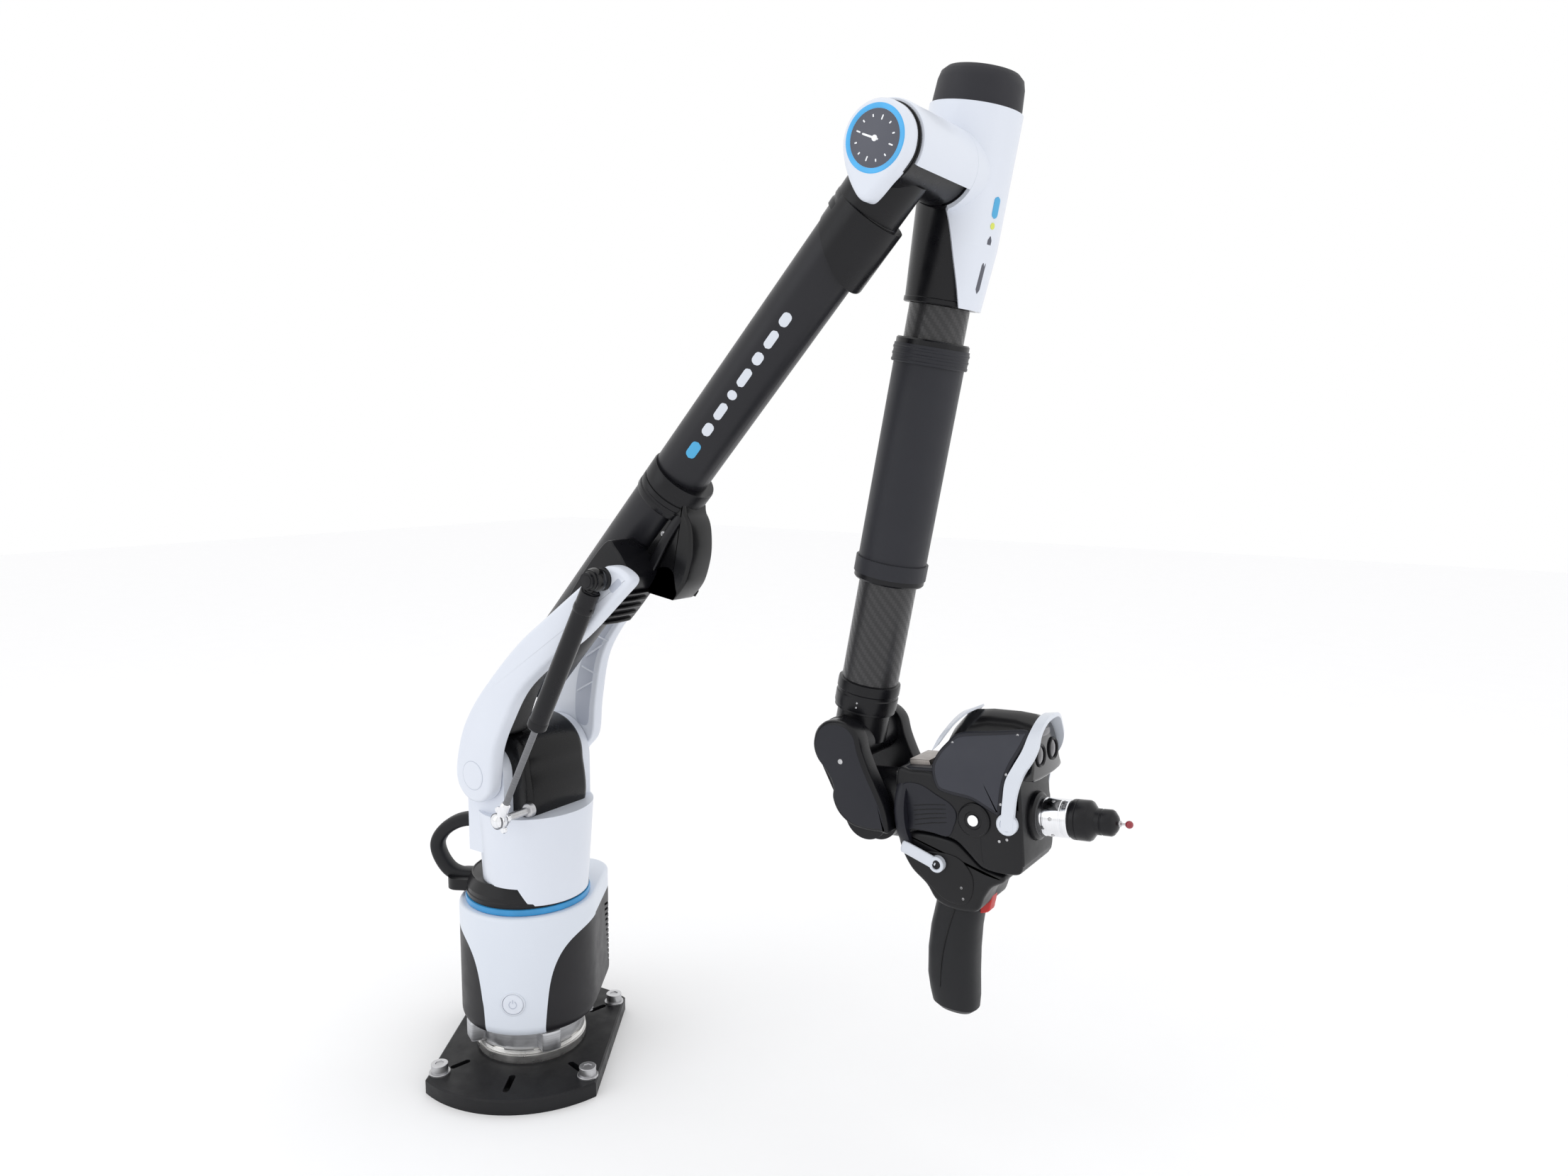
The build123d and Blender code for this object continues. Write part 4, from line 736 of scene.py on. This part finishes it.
# ---------------------------------------------------------------- wrist yoke
yoke = smooth([(7, 77.5), (-6, 76.5), (-15, 69), (-19.5, 57), (-17, 45), (-8, 33), (-3, 22), (-4, 11),
    (1, -1), (12, -10), (26, -13.5), (40, -14), (47.5, -13), (46, 4), (40, 20), (33, 36), (27.5, 52),
    (24.5, 66), (17, 74.5)])
slab_pair("yoke_skin", yoke, 29.9, 46.6, 4.0, SATIN, "wrist", ("yoke_covers",), back=0.8)
slab_pair("yoke_plate", inset(yoke, 3.4), 45.8, 46.9, 0.4, SCANNER, "wrist")
turn_piece("yoke_barrel_skin", HAND, [(0, 0.5), (18, 0.5), (25, 2.5), (28.5, 7), (29, 12), (29, 44),
    (28.2, 48), (26, 49.4), (12, 49.4)], SATIN, "wrist", steps=96)
for z, side in ((46.8, 1), (-46.8, -1)):
    link = Link(HAND_SIDE.at(7.5, 43.5, z), HAND_SIDE.x, HAND_SIDE.z * side)
    cap_screw(f"yoke_screw_{'near' if side > 0 else 'far'}", link, 2.3, 0.5, SCREW, "wrist")

# ---------------------------------------------------------------- hand
def wall(b):
    """How far the scanner's side wall leans in at a height above the roll axis."""
    return 0.0 if b < WALL_FOOT else -WALL_CURVE * (b - WALL_FOOT) ** 2


turn_piece("hand_ring_skin", HAND, [(12, 50.6), (36, 50.6), (39.2, 51.6), (40.2, 54), (40.2, 58), (39, 60.2),
    (12, 60.2)], SCANNER, "hand", ("handle_ring",), steps=96)
slab("ring_block", HAND_SIDE, [(53, 30), (57, 36), (57, 42.5), (75, 42.5), (77, 36), (77, 30)], -17, 17, 1.0,
    RING, "hand")
slab("ring_block_base", HAND_SIDE, [(50.8, 26), (50.8, 36.6), (54, 38.2), (83, 38.8), (86, 36), (86, 26)],
    -27.5, 27.5, 2.2, SCANNER, "hand")
body_outline = smooth([(50.8, 34), (66, 36.4), (84, 35.5), (90, 28), (104, 22), (124, 24), (146, 31),
    (157, 34), (158.5, 26), (158.5, -26), (157, -34), (153, -40), (141, -41), (128, -39.5), (120, -36),
    (110, -26), (100, -18), (84, -15), (66, -14), (50.8, -17)], 5)
slab("hand_body_skin", HAND_SIDE, body_outline, -31.2, 31.2, 3.0, BLACK, "hand", ("handle_body",))
saddle = smooth([(56, 24), (72, 26), (88, 18), (99, 12), (104, 4), (101, -6), (95, -15), (80, -13), (64, -12),
    (55, -14), (53, 4)], 5)
slab_pair("saddle", saddle, 30.6, 32.2, 0.9, SCANNER, "hand")
for number, (b1, b2) in enumerate(((8, 13), (4, 9.5), (0, 6), (-4, 2.5), (-8, -1.5))):
    sweep(f"saddle_line_{number}", HAND_SIDE, [(66, b1, 32.25), (80, (b1 + b2) / 2 - 0.6, 32.3),
        (95, b2 - 2, 32.25)], 0.25, 0.35, (0, 0, 1), INSIDE, "hand")
front_outline = smooth([(127, 14), (143, 10), (156, 12), (158, 4), (158, -24), (156, -36), (151, -39),
    (138, -39.5), (128, -37), (124, -30), (124, -8)], 5)
slab_pair("hand_front", front_outline, 30.6, 32.0, 0.9, BLACK, "hand")
for number, (a, b) in enumerate(((139.5, -14), (141, 15), (146, -12))):
    cap_screw(f"hand_front_screw_{number}", HAND_SIDE.shifted(a, b, 31.9), 1.3, 0.4, SCREW, "hand")

panel = smooth([(98, 62), (104, 67.2), (114, 69.5), (140, 71.5), (160, 73), (164.5, 70), (161, 60), (153, 46),
    (147, 31), (143.5, 14), (141, 6.5), (133, 9.5), (118.5, 16.9), (104, 19.5), (91, 22.5), (86.5, 29),
    (85, 42), (90, 53)], 5)
for side, name in ((1, "near"), (-1, "far")):
    link = Link(HAND_SIDE.origin, HAND_SIDE.x, HAND_SIDE.z * side)
    shape = panel if side > 0 else [(a, -b) for a, b in panel]
    lean = (lambda a, b: wall(b)) if side > 0 else (lambda a, b: wall(-b))
    slab(f"scanner_panel_{name}", link, shape, 30.8, 33.2, 1.4, SCANNER, "hand",
        ("scanner_covers",) if side > 0 else (), lift=lean)
    slab(f"scanner_panel_inset_{name}", link, inset(shape, 3.0), 32.9, 33.5, 0.3, PANEL_FACE, "hand",
        lift=lean)
    for number, (a, b) in enumerate(((102, 61), (156, 69), (143, 16), (149, 40))):
        spot = link.shifted(a, b * side, 33.2 + wall(b))
        cap_screw(f"scanner_screw_{name}_{number}", spot, 1.2, 0.45, SCREW, "hand")
    turn_piece(f"frame_pivot_{name}", link.shifted(148, 1 * side, 0), [(0, 31), (8.6, 31), (8.6, 35.4),
        (7.6, 36.4), (5.4, 36.4), (5.2, 35.8), (4.3, 35.8), (0, 35.8)], TRIM, "hand")
    cap_screw(f"frame_pivot_screw_{name}", link.shifted(148, 1 * side, 35.6), 4.2, 1.0, SCREW, "hand")

arch = [(30, 0.0), (52, -2.6), (64, -6.6), (72, -12), (77.5, -18), (81, -24.5), (82.5, -30)]
stations = [(86.5, 26, 46, 0.93), (90, 24, 60, 0.97), (96, 22, 71, 1), (104, 21, 79, 1), (112, 22, 83.5, 1),
    (128, 24, 84.5, 1), (150, 31, 83.5, 1), (163, 36, 81.5, 1), (166.5, 48, 79.5, 0.96)]
loops = []
for a, low_b, top_b, share in stations:
    half = [(low_b, ARCH_HALF)]
    half += [(low_b + (b - ARCH_LOW) * (top_b - low_b) / (ARCH_TOP - ARCH_LOW), ARCH_HALF + dy) for b,
        dy in arch]
    half = smooth(half, 3, closed=False)
    loops.append([(b, y * share, a) for b, y in half] + [(b, -y * share, a) for b, y in reversed(half)])
points, faces = skin(loops)
piece("scanner_shell", HAND, points, faces, GLOSS, "hand", ("scanner_body",), sharp=50)
strap("front_frame_skin", HAND_SIDE, [(142.5, -4, 153.5, -4, 33.4, 0), (144.0, 8, 155, 8.5, 33.4, 0),
    (146, 22, 158, 25, 33.2, 0), (148.5, 35, 164, 40, 32.2, 8), (154.5, 46, 171, 51, 29.6, 18),
    (161, 57, 174.5, 60, 26, 28), (164.5, 67, 175.5, 69.5, 21.5, 42), (167, 74.5, 177, 76.0, 15, 62),
    (168, 78.2, 178, 79, 7.5, 80), (168.5, 79.2, 178.5, 79.8, 0, 90)], 3.2, TRIM, "hand", ("front_frame",))
strap("rear_trim_skin", HAND_SIDE, [(85, 54, 92, 60, 30.0, 0), (89, 61.5, 98, 68, 27.6, 20),
    (93, 68, 104, 76, 22.5, 45), (97, 74.5, 111, 82.6, 14.5, 68), (99.5, 78.2, 116, 85.0, 7, 82),
    (100.5, 79.5, 118, 85.6, 0, 90)], 2.0, TRIM, "hand", ("rear_trim",))
front_slab = smooth([(34, 26), (34, -26), (44, -27), (60, -23), (70, -17), (75, -10), (76, 0), (75, 10),
    (70, 17), (60, 23), (44, 27)], 4)
slab("lens_plate", HAND, front_slab, 157, 169.5, 1.5, LENS, "hand", ("lens_bezel",))
for y in (-13, 13):
    link = HAND.shifted(52, y, 0)
    turn_piece(f"lens_ring_{'near' if y > 0 else 'far'}", link, [(7.2, 169), (9.2, 169), (9.2, 170.6),
        (8.2, 171.2), (7.2, 170.4)], SATIN, "hand", hole=True)
    turn_piece(f"lens_glass_{'near' if y > 0 else 'far'}", link, [(0, 169), (7.3, 169), (7.3, 169.6),
        (4, 170.5), (0, 170.8)], GLASS, "hand")
slab("lens_slot", HAND, smooth([(66, -9), (68, -10), (70, -9), (71, 0), (70, 9), (68, 10), (66, 9), (65, 0)],
    3), 169, 170.2, 0.4, GLASS, "hand")

button_link = HAND_SIDE.shifted(119.3, 1.2, 0)
turn_piece("button_boss", button_link, [(0, 30), (14, 30), (13.6, 33.4), (12.2, 34.6), (7.4, 34.8),
    (6.9, 34.2), (0, 34.2)], BLACK, "hand")
turn_piece("button_glow", button_link, [(4.5, 34.0), (5.1, 34.0), (5.1, 34.9), (4.5, 34.9)], SCANNER, "hand",
    hole=True)
turn_piece("button_cap", button_link, [(0, 31), (4.4, 31), (4.4, 35.0), (3.8, 35.6), (0, 35.8)], LAMP,
    "hand_button", ("mode_button",))

mount_outline = smooth([(47.8, -14), (60, -15), (80, -16), (98, -19.5), (110, -29), (120, -38), (131, -41.5),
    (139, -43.5), (138.5, -49), (128, -55), (121, -64), (114, -76), (96, -77.5), (79, -72), (70, -59),
    (57, -47), (48.5, -30)], 5)
slab_pair("mount_skin", mount_outline, 0, 28.5, 4.0, BLACK, "hand", ("grip_mount",), back=0.2)
flank = smooth([(62, -36), (76, -30), (100, -32), (112, -44), (113, -58), (106, -70), (90, -70), (76, -60),
    (66, -48)], 5)
slab_pair("mount_flank", flank, 27.8, 29.6, 1.0, BLACK, "hand")
for number, (a, b) in enumerate(((103, -57), (104, -66))):
    cap_screw(f"mount_screw_{number}", HAND_SIDE.shifted(a, b, 29.3), 1.3, 0.4, SCREW, "hand")

grip_rows = [(-66, 91, 20.5, 18.5), (-80, 88, 20.8, 17.8), (-100, 82.5, 21.5, 18), (-120, 79, 22, 18.2),
    (-142, 77, 22, 18), (-158, 77, 21, 17.2), (-168, 77, 19.5, 15.8), (-172, 77, 15, 12)]
loops = []
for b, a, half_a, half_y in grip_rows:
    loop = []
    for k in range(48):
        c, s = math.cos(2 * math.pi * k / 48), math.sin(2 * math.pi * k / 48)
        lean = -GRIP_SLOPE * (a + half_a * c - GRIP_MIDDLE) if b < GRIP_END else 0.0
        loop.append((a + half_a * math.copysign(abs(c) ** 0.86,
            c), b + lean, half_y * math.copysign(abs(s) ** 0.8, s)))
    loops.append(loop)
points, faces = skin(loops)
piece("grip_skin", HAND_SIDE, points, faces, GRIP, "hand", ("grip",))
for side, name in ((1, "near"), (-1, "far")):
    seam = [(a, b, side * y) for a, b, y in ((93, -74, 18.1), (84, -96, 18.3), (76, -122, 18.5), (71.5, -150,
        17.7))]
    sweep(f"grip_seam_{name}", HAND_SIDE, seam, 0.25, 0.4, (0, 0, 1), INSIDE, "hand")
trigger_outline = smooth([(103, -63), (112, -62.4), (119, -62.8), (118.4, -70), (116.2, -78), (113.4, -84),
    (103, -84)], 4)
slab("trigger_skin", HAND_SIDE, trigger_outline, -5.9, 5.9, 1.6, RED, "trigger", ("trigger",))
for side, name in ((1, "near"), (-1, "far")):
    sweep(f"lever_bar_{name}", HAND_SIDE, [(53, -26.5, side * 33), (60, -29, side * 33.2),
        (70, -33, side * 33.2), (84, -38.8, side * 33)], 1.9, 5.2, (0, 0, 1), TRIM, "grip_lever",
        ("grip_lever",) if side > 0 else ())
    link = Link(HAND_SIDE.at(*LEVER_PIVOT), HAND_SIDE.x, HAND_SIDE.z * side)
    turn_piece(f"lever_eye_{name}", link, [(0, 28.5), (6.6, 28.5), (6.6, 34.2), (6, 34.8), (4.2, 34.8),
        (4, 34), (0, 34)], TRIM, "grip_lever")
    cap_screw(f"lever_screw_{name}", link.shifted(0, 0, 33.8), 3.6, 1.1, SATIN, "grip_lever")

# ---------------------------------------------------------------- probe
turn_piece("probe_seat", HAND, [(0, 157), (19, 157), (19.6, 159), (18.8, 162), (16.4, 163.6), (12, 163.6)],
    SATIN, "hand", ("probe_mount",))
turn_piece("probe_chrome_skin", HAND, [(0, 160), (14.8, 160), (15.1, 161), (15.1, 167.4), (14.2, 167.9),
    (14.2, 168.7), (15.1, 169.2), (15.1, 181), (14.6, 181.6), (14.6, 182.4), (15.1, 183), (15.1, 186.6),
    (14.4, 187.4), (0, 187.4)], PROBE, "hand", steps=96)
turn_piece("probe_black_skin", HAND, [(0, 187.2), (14.2, 187.2), (14.2, 188.6), (15.5, 189.4), (15.8, 190.4),
    (15.8, 193), (15.4, 193.5), (15.8, 194), (15.8, 202), (15, 203.6), (11, 206.6), (10.2, 207.6),
    (10.2, 211), (9.6, 211.5), (9.6, 212.3), (10.2, 212.8), (10.2, 219), (9.4, 220.6), (6, 223.2), (3, 224.4),
    (0, 224.6)], SATIN, "hand", ("probe_body",), steps=96)
for number in range(6):
    angle = math.radians(60 * number + 20)
    place = HAND.at(15.2 * math.cos(angle), 15.2 * math.sin(angle), 175)
    cap_screw(f"probe_pin_{number}", Link(place, HAND.z, HAND.x * math.cos(angle) + HAND.y * math.sin(angle)),
        1.5, 0.35, SCREW, "hand")
turn_piece("stylus_stem", HAND, [(0, 224), (2.4, 224), (2.4, 225.6), (1.0, 226.6), (0.8, 229.5), (0, 229.5)],
    SCREW, "hand", steps=32)
ball("stylus_ball", HAND.shifted(0, 0, 232), 3.05, RUBY, "hand", ("stylus_tip",))


# ---------------------------------------------------------------- camera, light and floor
CAMERA_AT = Vector((0.79905, -0.72501, 0.60137))
LOOK = Vector((-0.56003, 0.81876, -0.12645))
LENS_MM = 25.51
ROLL = math.radians(0.32)

camera_data = bpy.data.cameras.new("camera")
camera_data.lens = LENS_MM
camera_data.sensor_width = 36.0
camera_data.sensor_fit = "HORIZONTAL"
camera = bpy.data.objects.new("camera", camera_data)
bpy.context.scene.collection.objects.link(camera)
turn = LOOK.to_track_quat("-Z", "Y").to_matrix() @ Matrix.Rotation(ROLL, 3, "Z")
camera.matrix_world = Matrix.Translation(CAMERA_AT) @ turn.to_4x4()
bpy.context.scene.camera = camera

world = bpy.data.worlds.new("studio")
world.use_nodes = True
world.node_tree.nodes["Background"].inputs[0].default_value = (1.0, 1.0, 1.0, 1)
world.node_tree.nodes["Background"].inputs[1].default_value = 1.0
bpy.context.scene.world = world
bpy.context.scene.view_settings.view_transform = "Standard"


def soft_light(name, place, target, size, power, tint=(1, 1, 1)):
    """A rectangular soft box aimed at a point."""
    data = bpy.data.lights.new(name, "AREA")
    data.shape = "RECTANGLE"
    data.size, data.size_y = size
    data.energy = power
    data.color = tint
    light = bpy.data.objects.new(name, data)
    bpy.context.scene.collection.objects.link(light)
    light.matrix_world = Matrix.Translation(place) @ (Vector(target) - Vector(place)).to_track_quat("-Z",
        "Y").to_matrix().to_4x4()
    return light


middle = (cad_low + cad_high) / 2
soft_light("key_left", (-0.9, -1.9, 1.5), middle, (1.4, 1.8), 5, (0.93, 0.96, 1.0))
soft_light("top", (0.3, -0.2, 2.6), middle, (2.4, 2.4), 4)
soft_light("fill_right", (2.4, 0.2, 1.0), middle, (1.2, 1.8), 2, (1.0, 0.98, 0.95))

floor_mesh = bpy.data.meshes.new("floor")
half = 6.0
floor_mesh.from_pydata([(-half, -half, 0), (half, -half, 0), (half, half, 0), (-half, half, 0)], [],
    [(0, 1, 2, 3)])
floor = bpy.data.objects.new("floor", floor_mesh)
bpy.context.scene.collection.objects.link(floor)
floor_mesh.materials.append(moulded("floor_paper", (252, 252, 253), 0.8, 0.05, 300, 0.05, tint=0.004))
